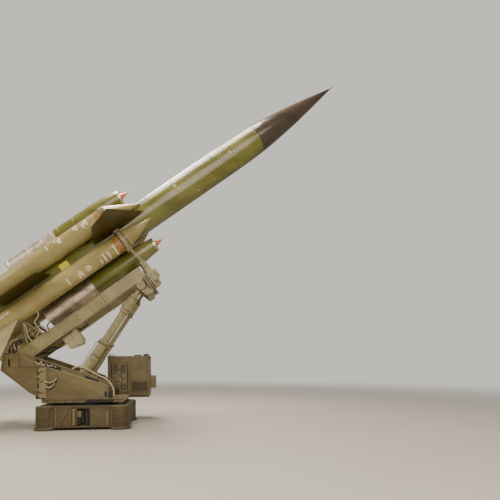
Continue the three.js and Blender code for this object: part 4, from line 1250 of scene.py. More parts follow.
    def cradle(self) -> None:
        """Builds the tubular rear trestle with its shoes under the lower boosters."""
        skins = []
        top = self.half
        for s in (-1, 1):
            y, by, bz = s * self.drum_y, s * self.booster_y, self.booster_z
            skins += [
                box(0.33, 0.76, y - 0.045, y + 0.045, top + 0.0005, top + 0.014),
                rod((0.7, y, top + 0.012), (0.575, y, 0.45), 0.024, 20),
                rod((0.38, y, top + 0.012), (0.545, y, 0.45), 0.04, 24),
                rod((0.56, y, top + 0.012), (0.56, y, 0.3), 0.016, 16),
                rod((0.43, y, 0.22), (0.66, y, 0.22), 0.016, 16),
                rod((0.545, y, 0.41), (0.562, by, 0.47), 0.045, 24, 0.006),
                patch(0.5, 0.62, 236.0, 304.0, 0.1615, 0.026, by, bz),
                bolts(grid((0.345, 0.46, 0.64, 0.745), (y - 0.033, y + 0.033), top + 0.014), (0, 0, 1), 0.008),
                turned(band(0.36, 0.372, 0.0, 0.058), 24, y, 0.168),
            ]
        skins += [rod((x, -self.drum_y, z), (x, self.drum_y, z), r, 24)
                  for x, z, r in ((0.64, 0.15, 0.026), (0.4, 0.16, 0.034))]
        piece("rear_cradle_welded", skins, PAINTS.khaki, Body.ARM, ["rear_cradle"], bevel=0.0015)

    def junction(self) -> None:
        """Builds the junction box with its screwed lid, and the two cables from its glands to the trunnions."""
        shell = eased([(0.88, -0.12), (1.1795, -0.04), (1.1795, -0.33), (1.12, -0.4), (0.88, -0.34)], 0.012, 4, True)
        lid = eased([(1.072, -0.09), (1.174, -0.06), (1.174, -0.33), (1.12, -0.39), (1.018, -0.362), (1.014, -0.3)],
                    0.008, 4, True)
        corners = np.array([(1.085, -0.105), (1.16, -0.08), (1.16, -0.2), (1.16, -0.315), (1.11, -0.375),
                            (1.032, -0.35), (1.052, -0.22)])
        heads = np.insert(corners, 1, -0.244, axis=1)
        skins = [prism(shell, -0.236, -0.084), box(0.96, 1.1, -0.2, -0.12, -0.12, -0.07),
                 bolts([[0.91, -0.236, -0.15], [0.91, -0.236, -0.31], [0.99, -0.236, -0.335]], (0, -1, 0), 0.006)]
        piece("junction_box_shell", skins, PAINTS.sage, Body.ARM, ["junction_box"], bevel=0.002)
        seam = (lid - lid.mean(axis=0)) * 1.09 + lid.mean(axis=0)
        piece("junction_box_seam", prism(seam, -0.2375, -0.235), PAINTS.khaki_dark, Body.ARM)
        piece("junction_box_lid", [prism(lid, -0.244, -0.2365), bolts(heads, (0, -1, 0), 0.006)], PAINTS.sage,
              Body.ARM, bevel=0.0015)
        glands = [
            rod((x0, y, -0.2), (x1, y, -0.2), r, sides, 0.002) for y in (-0.19, -0.13)
            for x0, x1, r, sides in ((0.7705, 0.81, 0.0185, 24), (0.808, 0.85, 0.0225, 6), (0.848, 0.882, 0.02, 24))]
        piece("junction_glands", glands, PAINTS.brass, Body.ARM)
        routes = ([(0.7695, -0.19, -0.2), (0.74, -0.19, -0.2), (0.64, -0.2, -0.13), (0.5, -0.22, -0.13),
                   (0.34, -0.245, -0.04), (0.2, -0.256, 0.0), (0.0848, -0.256, 0.0)],
                  [(0.7695, -0.13, -0.2), (0.74, -0.13, -0.2), (0.66, -0.145, -0.18), (0.55, -0.17, -0.17),
                   (0.36, -0.205, -0.07), (0.2, -0.215, 0.0), (0.0848, -0.215, 0.0)])
        for number, route in enumerate(routes, 1):
            piece(f"cable_{number}_sleeve", swept(spline(route, 8), 0.013, 16), PAINTS.rubber, Body.ARM,
                  [f"cable_{number}"])

    def pipes(self) -> None:
        """Builds the bent steel pipes and the rubber hoses above the beams' rear ends."""
        bent = [([(x, s * y, z) for x, z in line], r) for s in (-1, 1) for y, r, line in (
            (0.4, 0.0125, [(0.567, 0.4725), (0.545, 0.347), (0.486, 0.23), (0.487, 0.11)]),
            (0.385, 0.0115, [(0.86, 0.473), (0.835, 0.4), (0.708, 0.36), (0.7, 0.123)]),
            (0.385, 0.01, [(0.712, 0.205), (0.6, 0.142), (0.575, 0.11)]))]
        bent.append(([(0.8, -0.12, 0.112), (0.72, -0.14, 0.3), (0.6, -0.16, 0.34), (0.5, -0.12, 0.44)], 0.012))
        skins = [swept(eased(points, 0.03, 6), r, 14) for points, r in bent]
        piece("arm_pipes", skins, PAINTS.sage, Body.ARM)
        looped = [([(x, y, 0.111), (x, y, 0.111 + 0.4 * rise), (x + 0.02, y + 0.01, 0.111 + 0.75 * rise),
                    (x + 0.4 * (0.4 - x), y + 0.5 * over, 0.108 + rise), (0.36, y + over, 0.108 + rise),
                    (0.402, y + over, 0.108 + rise)], r)
                  for x, y, rise, over, r in ((0.1, -0.38, 0.165, 0.085, 0.013), (0.15, -0.37, 0.135, 0.105, 0.015),
                                              (0.21, -0.385, 0.11, 0.15, 0.011), (0.06, -0.34, 0.15, 0.1, 0.011))]
        skins = [swept(spline(points, 8), r, 14) for points, r in looped]
        piece("arm_hoses", skins, PAINTS.rubber, Body.ARM)
        arched = [[(x, -0.36, 0.109), (x + 0.004, -0.36, 0.109 + 0.35 * rise),
                   (x + 0.02, -0.355, 0.109 + 0.72 * rise), (x + 0.055, 0.5 * end - 0.19, 0.11 + rise),
                   (x + 0.13, 0.8 * end - 0.06, 0.1 + rise), (0.36, end, high), (0.402, end, high)]
                  for x, rise, end, high in ((0.137, 0.215, -0.3, 0.268), (0.177, 0.17, -0.255, 0.242),
                                             (0.232, 0.12, -0.215, 0.21))]
        thin = [swept(spline(points, 8), 0.0085, 12) for points in arched]
        piece("arm_thin_hoses", thin, PAINTS.pale_hose, Body.ARM)
        union = turned([(-0.004, 0.0), (-0.004, 0.021), (0.02, 0.021), (0.022, 0.018), (0.034, 0.018), (0.034, 0.0)],
                       6)
        ends = [union.placed(aimed(np.array([points[i]]), way)[0])
                for i, way in ((0, (0, 0, 1)), (-1, (-1, 0, 0))) for points, _ in looped]
        ends.append(turned_across([(-0.2, 0.0), (-0.2, 0.034), (-0.188, 0.038), (-0.07, 0.038), (-0.058, 0.03),
                                   (-0.058, 0.0)], 0.45, 0.235, 32))
        piece("arm_unions", ends, PAINTS.bare, Body.ARM)
        valves = [box(0.4, 0.5, -0.32, -0.19, 0.185, 0.285)]
        for s in (-1, 1):
            valves += [box(0.08, 0.2, s * 0.31, s * 0.39, self.half, self.half + 0.05),
                       rod((0.14, s * 0.35, 0.15), (0.14, s * 0.35, 0.2), 0.022, 20, 0.003),
                       box(0.3, 1.1, s * 0.3 - 0.006, s * 0.3 + 0.006, -self.half - 0.018, -self.half + 0.001)]
        piece("arm_valves", valves, PAINTS.khaki_dark, Body.ARM, bevel=0.003)

    def build(self) -> None:
        """Builds the whole arm."""
        for side in Side:
            self.beam(side)
            self.support(side)
        self.ties()
        self.crosshead()
        self.cradle()
        self.junction()
        self.pipes()


@dataclass
class Struts:
    """Two telescopic struts and the elevating jack between them, each a barrel and a ram."""

    pin: float = 0.0308
    rod_r: float = 0.065
    bore: float = 0.0662
    ram_start: float = 0.612

    def eye(self, x: float, y: float, half: float, radius: float) -> Skin:
        """Returns a round eye with its pin hole, about a Y axis."""
        edge = 0.004
        profile = [(y - half, self.pin), (y - half, radius - edge), (y - half + edge, radius),
                   (y + half - edge, radius), (y + half, radius - edge), (y + half, self.pin)]
        return turned_across(profile, x, 0.0, 40, ringed=True)

    def barrel(self, side: Side) -> None:
        """Builds one strut's barrel with its collars, weld beads, clamp bands and a pipe along it."""
        name, y = side.name.lower(), side.value * LAYOUT.strut_y
        outside = [(0.06, 0.0), (0.06, 0.038), (0.110, 0.038), (0.118, 0.06), (0.126, 0.085), (0.130, 0.088),
                   (0.16, 0.088), (0.163, 0.085), (0.167, 0.088), (0.562, 0.088), (0.571, 0.084), (0.575, 0.08),
                   (0.836, 0.08), (0.838, 0.092), (0.841, 0.094), (0.856, 0.094), (0.859, 0.090), (0.866, 0.090),
                   (0.869, 0.094), (0.886, 0.094), (0.89, 0.09), (0.89, self.bore), (0.129, self.bore), (0.129, 0.0)]
        lugs = [box(x, x + 0.03, y + side.value * 0.075, y + side.value * 0.108, -0.02, 0.02) for x in (0.24, 0.5)]
        bands = [turned(band(x, x + 0.022, 0.079, 0.0845), 40, y, ringed=True) for x in (0.62, 0.78)]
        skins = [turned(outside, 56, y), self.eye(0.0, y, 0.034, 0.072), *lugs, *bands]
        places, out = ring_places(0.848, 0.094, 8, y, 0.0, 0.2)
        skins.append(bolts(places, out, 0.007))
        piece(f"strut_{name}_barrel_turned", skins, PAINTS.khaki_pale, f"strut_{name}_barrel",
              [f"strut_{name}_barrel"])
        line = eased([(0.2, y, 0.086), (0.22, y, 0.112), (0.8, y, 0.112), (0.82, y, 0.092)], 0.02, 5)
        elbows = [rod((x, y, z), (x, y, 0.1), 0.014, 6, 0.002) for x, z in ((0.2, 0.08), (0.82, 0.076))]
        piece(f"strut_{name}_pipe", [swept(line, 0.006, 10), *elbows], PAINTS.brass, f"strut_{name}_barrel")
        piece(f"strut_{name}_barrel_shades", [self.line(x, y, 0.08) for x in (0.578, 0.822)], PAINTS.black,
              f"strut_{name}_barrel")

    @staticmethod
    def line(x: float, y: float, radius: float) -> Skin:
        """Returns the thin dark line where a sleeve meets its collar."""
        return turned(band(x, x + 0.012, radius - SUNK, radius + 0.0015), 56, y, ringed=True)

    def ram(self, side: Side) -> None:
        """Builds one strut's ram: rod, wide tube with a stop collar, neck and eye."""
        name, y = side.name.lower(), side.value * LAYOUT.strut_y
        end = LAYOUT.strut_length()
        r = self.rod_r
        shape = [(self.ram_start, 0.0), (self.ram_start, r - 0.003), (self.ram_start + 0.003, r), (1.160, r),
                 (1.164, r - 0.006), (1.184, r - 0.006), (1.188, r), (1.486, r), (1.489, 0.084), (1.494, 0.088),
                 (1.509, 0.088), (1.512, 0.085), (1.516, 0.088), (1.531, 0.088), (1.54, 0.081), (1.66, 0.081),
                 (1.664, 0.086), (1.684, 0.086), (1.688, 0.081), (1.8, 0.081), (1.82, 0.074), (1.837, 0.06),
                 (1.86, 0.05), (1.89, 0.038), (end - 0.03, 0.038), (end - 0.03, 0.0)]
        places, out = ring_places(1.502, 0.088, 8, y, 0.0, 0.2)
        tab = box(1.56, 1.63, y - 0.012, y + 0.012, 0.07, 0.104)
        skins = [turned(shape, 56, y), self.eye(end, y, 0.036, 0.06), bolts(places, out, 0.007), tab]
        piece(f"strut_{name}_ram_turned", skins, PAINTS.khaki_pale, f"strut_{name}_ram", [f"strut_{name}_ram"])
        piece(f"strut_{name}_ram_shades", [self.line(x, y, 0.081) for x in (1.542, 1.786)], PAINTS.black,
              f"strut_{name}_ram")

    def jack(self) -> None:
        """Builds the elevating jack: barrel with a gland nut and pipe, and a ground rod."""
        end = LAYOUT.strut_length()
        outside = [(0.05, 0.0), (0.05, 0.032), (0.106, 0.032), (0.112, 0.05), (0.12, 0.064), (0.736, 0.064),
                   (0.742, 0.072), (0.746, 0.074), (0.796, 0.074), (0.8, 0.07), (0.8, 0.0415), (0.125, 0.0415),
                   (0.125, 0.0)]
        skins = [turned(outside, 48), self.eye(0.0, 0.0, 0.03, 0.062)]
        skins += [rod((x, 0, 0.06), (x, 0, 0.086), 0.013, 6, 0.002) for x in (0.16, 0.7)]
        line = eased([(0.16, 0, 0.08), (0.18, 0, 0.096), (0.68, 0, 0.096), (0.7, 0, 0.08)], 0.015, 5)
        skins.append(swept(line, 0.006, 10))
        piece("jack_barrel_turned", skins, PAINTS.khaki, Body.JACK_BARREL, ["jack_barrel"])
        shaft = [(self.ram_start, 0.0), (self.ram_start, 0.038), (self.ram_start + 0.002, 0.04), (end - 0.09, 0.04),
                 (end - 0.085, 0.034), (end - 0.03, 0.034), (end - 0.03, 0.0)]
        piece("jack_ram_ground", [turned(shaft, 48), self.eye(end, 0.0, 0.038, 0.058)], PAINTS.chrome, Body.JACK_RAM,
              ["jack_ram"])

    def build(self) -> None:
        """Builds both struts and the jack."""
        for side in Side:
            self.barrel(side)
            self.ram(side)
        self.jack()


@dataclass
class Turntable:
    """Deck, cheeks, equipment cabinet with two doors, and the hose over the right cheek."""

    deck_x: tuple[float, float] = (-0.7, 0.64)
    deck_low: float = 0.44
    deck_top: float = 0.51
    cheek_in: float = 0.44
    cheek_out: float = 0.5
    slope_rear: tuple[float, float] = (-0.93, 1.268)
    slope_front: tuple[float, float] = (0.39, 0.79)
    post_height: float = 0.026
    cabinet_low: float = 0.475
    cabinet_top: float = 1.255
    cabinet_x: tuple[float, float] = (0.22, 1.02)
    cabinet_y: tuple[float, float] = (0.665, 1.225)
    door_y: tuple[float, float] = (0.65, 0.6647)
    door_z: tuple[float, float] = (0.56, 1.105)
    door_border: float = 0.02
    doors: Rows = (("rear", 0.299, 0.441), ("front", 0.446, 0.588))

    def deck(self) -> None:
        """Builds the deck with its lugs, pins, bulkheads, edge gussets and bolts."""
        (x0, x1), low, top, out = self.deck_x, self.deck_low, self.deck_top, self.cheek_out
        foot = eased([(-0.29, top - 0.002), (-0.04, top - 0.002), (-0.095, 0.8), (-0.125, 0.832), (-0.195, 0.832),
                      (-0.225, 0.8)], 0.02, 5, True)
        fx, fz = LAYOUT.foot
        skins = [box(x0, x1, -out, out, low, top),
                 box(-0.68, -0.64, -0.435, 0.435, top - 0.002, 0.7),
                 box(0.3, 0.34, -0.435, 0.435, top - 0.002, 0.69)]
        for y in (-LAYOUT.strut_y, 0.0, LAYOUT.strut_y):
            skins += [prism(foot, y + a, y + b) for a, b in ((-0.072, -0.042), (0.042, 0.072))]
            skins += [rod((fx, y - 0.078, fz), (fx, y + 0.078, fz), 0.03, 32, 0.003),
                      rod((fx, y - 0.086, fz), (fx, y + 0.086, fz), 0.018, 6)]
        x = np.array([-0.62, -0.47, -0.32, -0.17, 0.54])
        for s in (-1, 1):
            skins += slabs([(x0, x1, top - 0.012, top), *[(a - 0.004, a + 0.004, low, low + 0.055) for a in x]],
                           s * out, s * (out + 0.014))
            skins.append(bolts(grid(x + 0.06, s * (out + 0.001), low + 0.022), (0, s, 0), 0.008))
        skins.append(box(x1, x1 + 0.02, -0.47, 0.47, top - 0.02, top))
        piece("deck_welded", skins, PAINTS.khaki, Body.TURNTABLE, ["turntable_deck"], bevel=0.003)
        # Black painted shadow on the deck's side plates, under the top lip
        shade = [prism([(0.0, low + 0.001), (0.48, low + 0.001), (0.48, top - 0.013), (0.06, top - 0.013)],
                       *sorted((s * out, s * (out + 0.0125)))) for s in (-1, 1)]
        piece("deck_painted_shadow", shade, PAINTS.black, Body.TURNTABLE)

    def cheek(self, side: Side) -> None:
        """Builds one cheek: plate, edge flanges, shelf, slotted lock plate, hinged post, handle and tray."""
        s, name = side.value, side.name.lower()
        top, out = self.deck_top, s * self.cheek_out

        def proud(outline: Sequence, height: float) -> Skin:
            """Returns a plate welded on the cheek's outer face."""
            return prism(outline, out - s * 0.004, out + s * height)

        outline = [(-1.35, 1.0), (-1.3, 1.29), self.slope_rear, self.slope_front, (0.39, top + 0.0005),
                   (-0.65, top + 0.0005), (-0.7, 0.52), (-0.89, 0.62)]
        flanges = [[(-0.925, 1.250), (-0.92, 1.269), (0.396, 0.792), (0.396, 0.53), (0.38, 0.53), (0.38, 0.779)]]
        if side is Side.LEFT:  # cut back clear of the cabinet's rear door
            flanges = [[(-0.925, 1.250), (-0.92, 1.269), (0.24, 0.8485), (0.24, 0.8295)],
                       [(0.375, 0.7808), (0.375, 0.7996), (0.396, 0.792), (0.396, 0.53), (0.38, 0.53), (0.38, 0.779)]]
        lower = [(-0.7, 0.521), (-0.89, 0.621), (-1.349, 1.001), (-1.334, 1.01), (-0.884, 0.636), (-0.7, 0.54)]
        skins = [prism(eased(outline, 0.02, 4, True), s * self.cheek_in, out),
                 *[proud(flange, 0.014) for flange in flanges], proud(lower, 0.014),
                 proud([(-1.302, 1.053), (-1.226, 1.053), (-1.226, 1.266), (-1.29, 1.268)], 0.018),
                 proud([(-1.184, 1.053), (-1.06, 1.053), (-1.06, 1.262), (-1.184, 1.2655)], 0.018),
                 proud([(-1.226, 1.053), (-1.184, 1.053), (-1.184, 1.066), (-1.226, 1.066)], 0.018),
                 proud([(-1.226, 1.186), (-1.184, 1.186), (-1.184, 1.2655), (-1.226, 1.266)], 0.018),
                 proud([(-1.33, 1.045), (-0.6, 1.045), (-0.6, 1.055), (-1.33, 1.055)], 0.012),
                 box(-0.262, -0.218, s * (self.cheek_in - 0.044), s * (self.cheek_in + 0.004), 0.915, 0.9497)]
        piece(f"cheek_{name}_plate", skins, PAINTS.khaki, Body.TURNTABLE, [f"cheek_{name}"], bevel=0.003)
        post = [proud([(-0.73, 0.53), (-0.612, 0.53), (-0.612, 1.04), (-0.73, 1.04)], self.post_height)]
        for z in (0.56, 0.645, 0.77, 0.865, 0.97):
            post += [rod((-0.738, out + s * 0.018, z), (-0.738, out + s * 0.018, z + 0.05), 0.013, 24, 0.003),
                     box(-0.748, -0.72, out, out + s * 0.012, z, z + 0.05)]
        post += [box(-0.802, -0.75, out, out + s * 0.02, z, z + 0.022) for z in (0.66, 0.88)]
        piece(f"cheek_{name}_post", post, PAINTS.khaki_pale, Body.TURNTABLE, bevel=0.003)
        self.cheek_fittings(side)

    def cheek_fittings(self, side: Side) -> None:
        """Builds what is fixed on a cheek: hinge straps and bolts, lashing handles, tray and hoses."""
        s, name, out = side.value, side.name.lower(), side.value * self.cheek_out
        face, hinges = out + s * self.post_height, (0.6, 0.79, 0.96)
        skins = slabs([(-0.725, -0.665, z, z + 0.032) for z in hinges], face - s * 0.002, face + s * 0.004)
        skins.append(box(-0.632, -0.622, out, face + s * 0.005, 0.56, 1.03))
        skins.append(bolts([*grid((-0.71, -0.68), face + s * 0.004, np.array(hinges) + 0.016),
                            *grid((-1.16, -1.085), out + s * 0.018, (1.08, 1.24)),
                            *[(x, out + s * 0.018, z) for x, z in ((-1.275, 1.08), (-1.25, 1.24))],
                            *grid(np.linspace(-0.6, 0.34, 9), out, 0.545),
                            *np.linspace([-0.3, out, 0.994], [-0.06, out, 0.907], 3),
                            *np.linspace([-1.29, out, 0.985], [-0.93, out, 0.69], 5)], (0, s, 0), 0.007))
        piece(f"cheek_{name}_fittings", skins, PAINTS.khaki, Body.TURNTABLE, bevel=0.0015)
        self.lashing(name, s, out)
        self.clutter(side)

    def lashing(self, name: str, s: int, out: float) -> None:
        """Builds the two bent lashing handles, their painted shadows on the cheek's face and a black peg at the end
        of each.
        """
        loops, handle_shadows = [], []
        for x, z, wide in ((-0.552, 0.815, 0.095), (-0.56, 0.73, 0.068)):
            loop = np.array([(-wide, 0.003, 0.02), (-0.95 * wide, 0.05, 0.0), (0.0, 0.058, -0.028),
                             (0.95 * wide, 0.05, 0.02), (wide, 0.003, 0.06)]) * (1.0, s, 1.0) + (x, out, z)
            loops.append(swept(spline(loop, 10), 0.0105, 14, (0.1, 1, 0.3)))
            # Painted shadow: the handle's line flattened onto the cheek's face and dropped 20 mm
            handle_shadow = spline(loop * (1.0, 0.0, 1.0) + (0.004, out + s * 0.009, -0.02), 10)
            handle_shadows += [swept(handle_shadow, 0.0085, 12, (0.1, 1, 0.3)),
                      rod((x + wide, out - s * 0.002, z + 0.055), (x + wide, out + s * 0.02, z + 0.055), 0.016, 16,
                          0.002)]
        piece(f"cheek_{name}_handle", loops, PAINTS.sage, Body.TURNTABLE)
        piece(f"cheek_{name}_horns", handle_shadows, PAINTS.black, Body.TURNTABLE)

    def clutter(self, side: Side) -> None:
        """Builds the ribbed tray on a cheek's slope, black painted shadow in its slots, under the tray and round it,
        pale painted highlight lines along the slope, and the curled hoses.
        """
        s, name, out = side.value, side.name.lower(), side.value * self.cheek_out
        (rear_x, rear_z), (front_x, front_z), tray_x = self.slope_rear, self.slope_front, 0.07
        slope = math.atan2(front_z - rear_z, front_x - rear_x)
        tilted = LAYOUT.leaning((tray_x, rear_z + (tray_x - rear_x) * math.tan(slope)), slope)
        near, far = s * 0.4325, s * 0.4915
        tray = slabs([(a, a + 0.012, 0.004, 0.0255) for a in np.arange(-0.13, 0.13, 0.026)], near, far)
        tray += [box(-0.14, 0.14, y, y + s * 0.006, -0.002, 0.0255) for y in (near, far - s * 0.006)]
        piece(f"cheek_{name}_tray", merged(*tray).placed(tilted), PAINTS.khaki_pale, Body.TURNTABLE, bevel=0.001)
        thin = out - s * SUNK, out + s * 0.0015
        # Black painted shadow: in the lock plate's slot, beside the post, under the tray, above the slope, under the
        # post's foot and past the cheek's front end
        shades = [*slabs([(-1.226, -1.184, 1.066, 1.186), (-0.762, -0.7305, 0.545, 1.035)], out, thin[1]),
                  box(-0.14, 0.14, near, far, -0.003, 0.006).placed(tilted),
                  prism([(-0.79, 1.142), (-0.627, 1.064), (-0.37, 0.982), (-0.39, 1.042), (-0.6, 1.118),
                         (-0.79, 1.19)], *thin), box(-0.79, -0.66, out - s * 0.03, out + s * 0.012, 0.512, 0.562),
                  box(0.396, 0.45, s * 0.445, s * 0.495, 0.5105, 0.63)]
        rim = [(-1.036, 1.229), (-0.627, 1.055), (0.1, 0.824)]
        if side is Side.RIGHT:  # on the left one these would stand in the cabinet door's way
            shades += [prism([(0.0, 0.912), (0.236, 0.828), (0.236, 0.778), (0.0, 0.858)], *thin),
                       box(0.332, 0.372, out + s * 0.0005, out + s * 0.013, 0.54, 0.63)]
            rim.append((0.376, 0.736))
        # Pale lines painted as highlight, where light shows along the slope
        piece(f"cheek_{name}_rims", swept([(x, out + s * 0.001, z) for x, z in rim], 0.006, 8), PAINTS.khaki_pale,
              Body.TURNTABLE)
        curls = [[(-0.787, 1.142), (-0.738, 1.1), (-0.705, 1.151), (-0.68, 1.09), (-0.63, 1.11)],
                 [(-0.61, 1.097), (-0.581, 1.07), (-0.539, 1.085), (-0.52, 1.06)], [(-0.49, 1.066), (-0.465, 1.045)]]
        hoses = [swept(spline([(x, out + s * 0.009, z) for x, z in line], 6), 0.0075, 10) for line in curls]
        piece(f"cheek_{name}_curls", hoses, PAINTS.pale_hose, Body.TURNTABLE)
        piece(f"cheek_{name}_recesses", shades, PAINTS.black, Body.TURNTABLE)

    def cabinet(self) -> None:
        """Builds the cabinet: shell, frame bars, louvre, side box, lifting eyes and roof details."""
        (x0, x1), (y0, y1) = self.cabinet_x, self.cabinet_y
        low, top, lip = self.cabinet_low, self.cabinet_top, 0.006
        skins = [box(x0, x1, y0, y1, low, top)]
        skins += [box(x0 - lip, x1 + lip, y0 - lip, y1 + lip, a, b)
                  for a, b in ((top - 0.03, top + lip), (low, low + 0.03))]
        skins += slabs([(x, x + 0.03, low, top) for x in (x0 - lip, 0.626, x1 - 0.024)], y0 - lip, y0 + 0.03)
        skins += slabs([(x, x + 0.03, low, top) for x in (x0 - lip, 0.604, x1 - 0.024)], y1 - 0.03, y1 + lip)
        skins += slabs([(0.262, 0.278, 0.533, 1.127), (0.609, 0.625, 0.533, 1.127), (0.278, 0.609, 1.111, 1.127),
                        (0.278, 0.609, 0.533, 0.554), (0.66, 0.675, 0.555, 0.755), (0.985, 1.0, 0.555, 0.755),
                        (0.675, 0.985, 0.555, 0.568), (0.675, 0.985, 0.742, 0.755)], y0 - 0.012, y0)
        skins += slabs([(x, x + 0.008, 0.8, 1.225) for x in (0.66, 0.82, 0.98)], y0 - lip, y0)
        skins += [box(x1, x1 + 0.012, y0 + 0.05, y1 - 0.05, 0.56, 1.0), box(x1, x1 + 0.13, 0.7, 0.95, 0.62, 0.87),
                  box(0.72, 0.86, 0.72, 0.9, top, top + 0.035), box(0.9, 1.0, 0.7, 0.78, top, top + 0.05)]
        skins += [turned_across(band(y - lip, y + lip, 0.012, 0.026), x,
                                top + 0.03, 24, True) for x in (0.26, 0.98) for y in (0.69, 1.2)]
        z = np.linspace(0.6, 1.18, 7)
        skins += [bolts(grid(x0 - lip, 0.7, z), (-1, 0, 0), 0.006), bolts(grid(x1, 0.7, z), (1, 0, 0), 0.006),
                  studs(grid(np.linspace(0.7, 0.95, 5), y0 - 0.0005, 1.21), (0, -1, 0), 0.006, 0.003)]
        piece("cabinet_shell", skins, PAINTS.khaki, Body.TURNTABLE, ["cabinet"], bevel=0.0025)
        # Louvre slats in the darker copy of the khaki, as painted shade
        slats = slabs([(0.68, 0.98, a, a + 0.012) for a in np.linspace(0.578, 0.722, 8)], y0 - 0.008, y0 + 0.001)
        piece("cabinet_louvre", slats, PAINTS.khaki_dark, Body.TURNTABLE)
        # Black painted shadow behind the louvre and round the doors
        gap_shadows = slabs([(0.675, 0.985, 0.57, 0.74), (0.2785, 0.2975, 0.555, 1.1105), (0.5895, 0.6085, 0.555, 1.1105),
                      (0.2975, 0.5895, 1.106, 1.1105)], y0 - 0.002, y0)
        piece("cabinet_gaps", gap_shadows, PAINTS.black, Body.TURNTABLE)
        self.chassis()
        for door in self.doors:
            self.door(*door)

    def chassis(self) -> None:
        """Builds the frame under the cabinet: two cross channels and two long ones, bolted."""
        out, low, top = self.cheek_out + 0.0005, self.deck_low, self.cabinet_low - 0.0005
        (x0, x1), y1 = self.cabinet_x, self.cabinet_y[1]
        skins = [box(a, a + 0.08, out, y1, low, top) for a in (0.25, 0.54)]
        skins += [box(x0, x1, b, b + 0.07, low, top) for b in (0.69, 1.13)]
        skins.append(bolts(grid((0.27, 0.31, 0.56, 0.6), (0.56, 0.72, 1.16), low), (0, 0, -1), 0.009))
        # Black as painted shade, since the channels stand in the shadow under the cabinet
        piece("cabinet_chassis", skins, PAINTS.black, Body.TURNTABLE, ["cabinet_frame"], bevel=0.003)

    def door(self, name: str, x0: float, x1: float) -> None:
        """Builds one door: sheet, raised border and bars, painted shade on its middle panel, black painted shadow
        lines along the border's inner edges, hinges and a turning handle.
        """
        (y0, y1), (z0, z1), w = self.door_y, self.door_z, self.door_border
        face, body, left, right = y0 + 0.004, f"door_{name}", x0 + w, x1 - w
        skins = [box(x0, x1, face, y1, z0, z1),
                 *slabs([(x0, left, z0, z1), (right, x1, z0, z1), (left, right, z0, z0 + w),
                         (left, right, z1 - w, z1), (left, right, 0.69, 0.708), (left, right, 0.93, 0.948)], y0,
                        face)]
        # The middle panel in the darker copy of the khaki, as painted shade
        shaded_field = box(left, right, face - 0.0015, face, 0.708, 0.93)
        piece(f"{body}_field", shaded_field, PAINTS.khaki_dark, body)
        # Black painted shadow lines along the inner edges of the border
        shadow_strips = slabs([(left, right, 0.915, 0.93), (left, left + 0.012, 0.58, 0.69),
                        (left, left + 0.012, 0.708, 0.915), (left, left + 0.012, 0.948, 1.085)], face - 0.0022,
                       face - 0.001)
        shadow_strips.append(box(left + 0.012, right, face - 0.0015, face, 1.073, 1.085))
        piece(f"{body}_recess", shadow_strips, PAINTS.black, body)
        inner, outer = (x1, x0) if name == "rear" else (x0, x1)
        way = 1.0 if outer > inner else -1.0
        hinge, grip_x = outer - way * 0.001, inner + way * 0.012
        skins += [rod((hinge, y0 + 0.002, z), (hinge, y0 + 0.002, z + 0.05), 0.006, 12) for z in (0.6, 0.8, 1.0)]
        piece(f"{body}_panel", skins, PAINTS.khaki_darker, body, [f"cabinet_door_{name}"], bevel=0.001)
        grip = [rod((grip_x, y0, 0.83), (grip_x, y0 - 0.02, 0.83), 0.008, 12),
                rod((grip_x, y0 - 0.018, 0.83), (grip_x, y0 - 0.018, 0.75), 0.007, 12, 0.002),
                bolts(grid(grip_x, y0, (0.6, 1.06)), (0, -1, 0), 0.005, 0.004),
                studs([[(x0 + x1) / 2, face, 0.635]], (0, -1, 0), 0.01, 0.003)]
        piece(f"{body}_grip", grip, PAINTS.bare, body)

    def hose(self) -> None:
        """Builds the hose that arches over the right cheek, with a fitting at each end."""
        route = spline(
            [(-0.24, -0.418, 0.9503), (-0.24, -0.418, 0.975), (-0.185, -0.42, 1.042), (-0.07, -0.44, 1.062),
             (0.08, -0.458, 0.99), (0.23, -0.464, 0.905), (0.345, -0.466, 0.85), (0.43, -0.466, 0.76),
             (0.475, -0.466, 0.65), (0.48, -0.466, 0.56), (0.48, -0.466, 0.5105)], 10)
        ends = [rod((x, y, z), (x, y, z + high), 0.0175, 6, 0.002)
                for x, y, z, high in ((-0.24, -0.418, 0.9503, 0.0347), (0.48, -0.466, 0.5105, 0.0495))]
        piece("hose_sleeve", swept(route, 0.013, 18), PAINTS.pale_hose, Body.TURNTABLE, ["hose"])
        piece("hose_ends", ends, PAINTS.brass, Body.TURNTABLE)

    def build(self) -> None:
        """Builds the whole turntable."""
        self.deck()
        for side in Side:
            self.cheek(side)
        self.cabinet()
        self.hose()


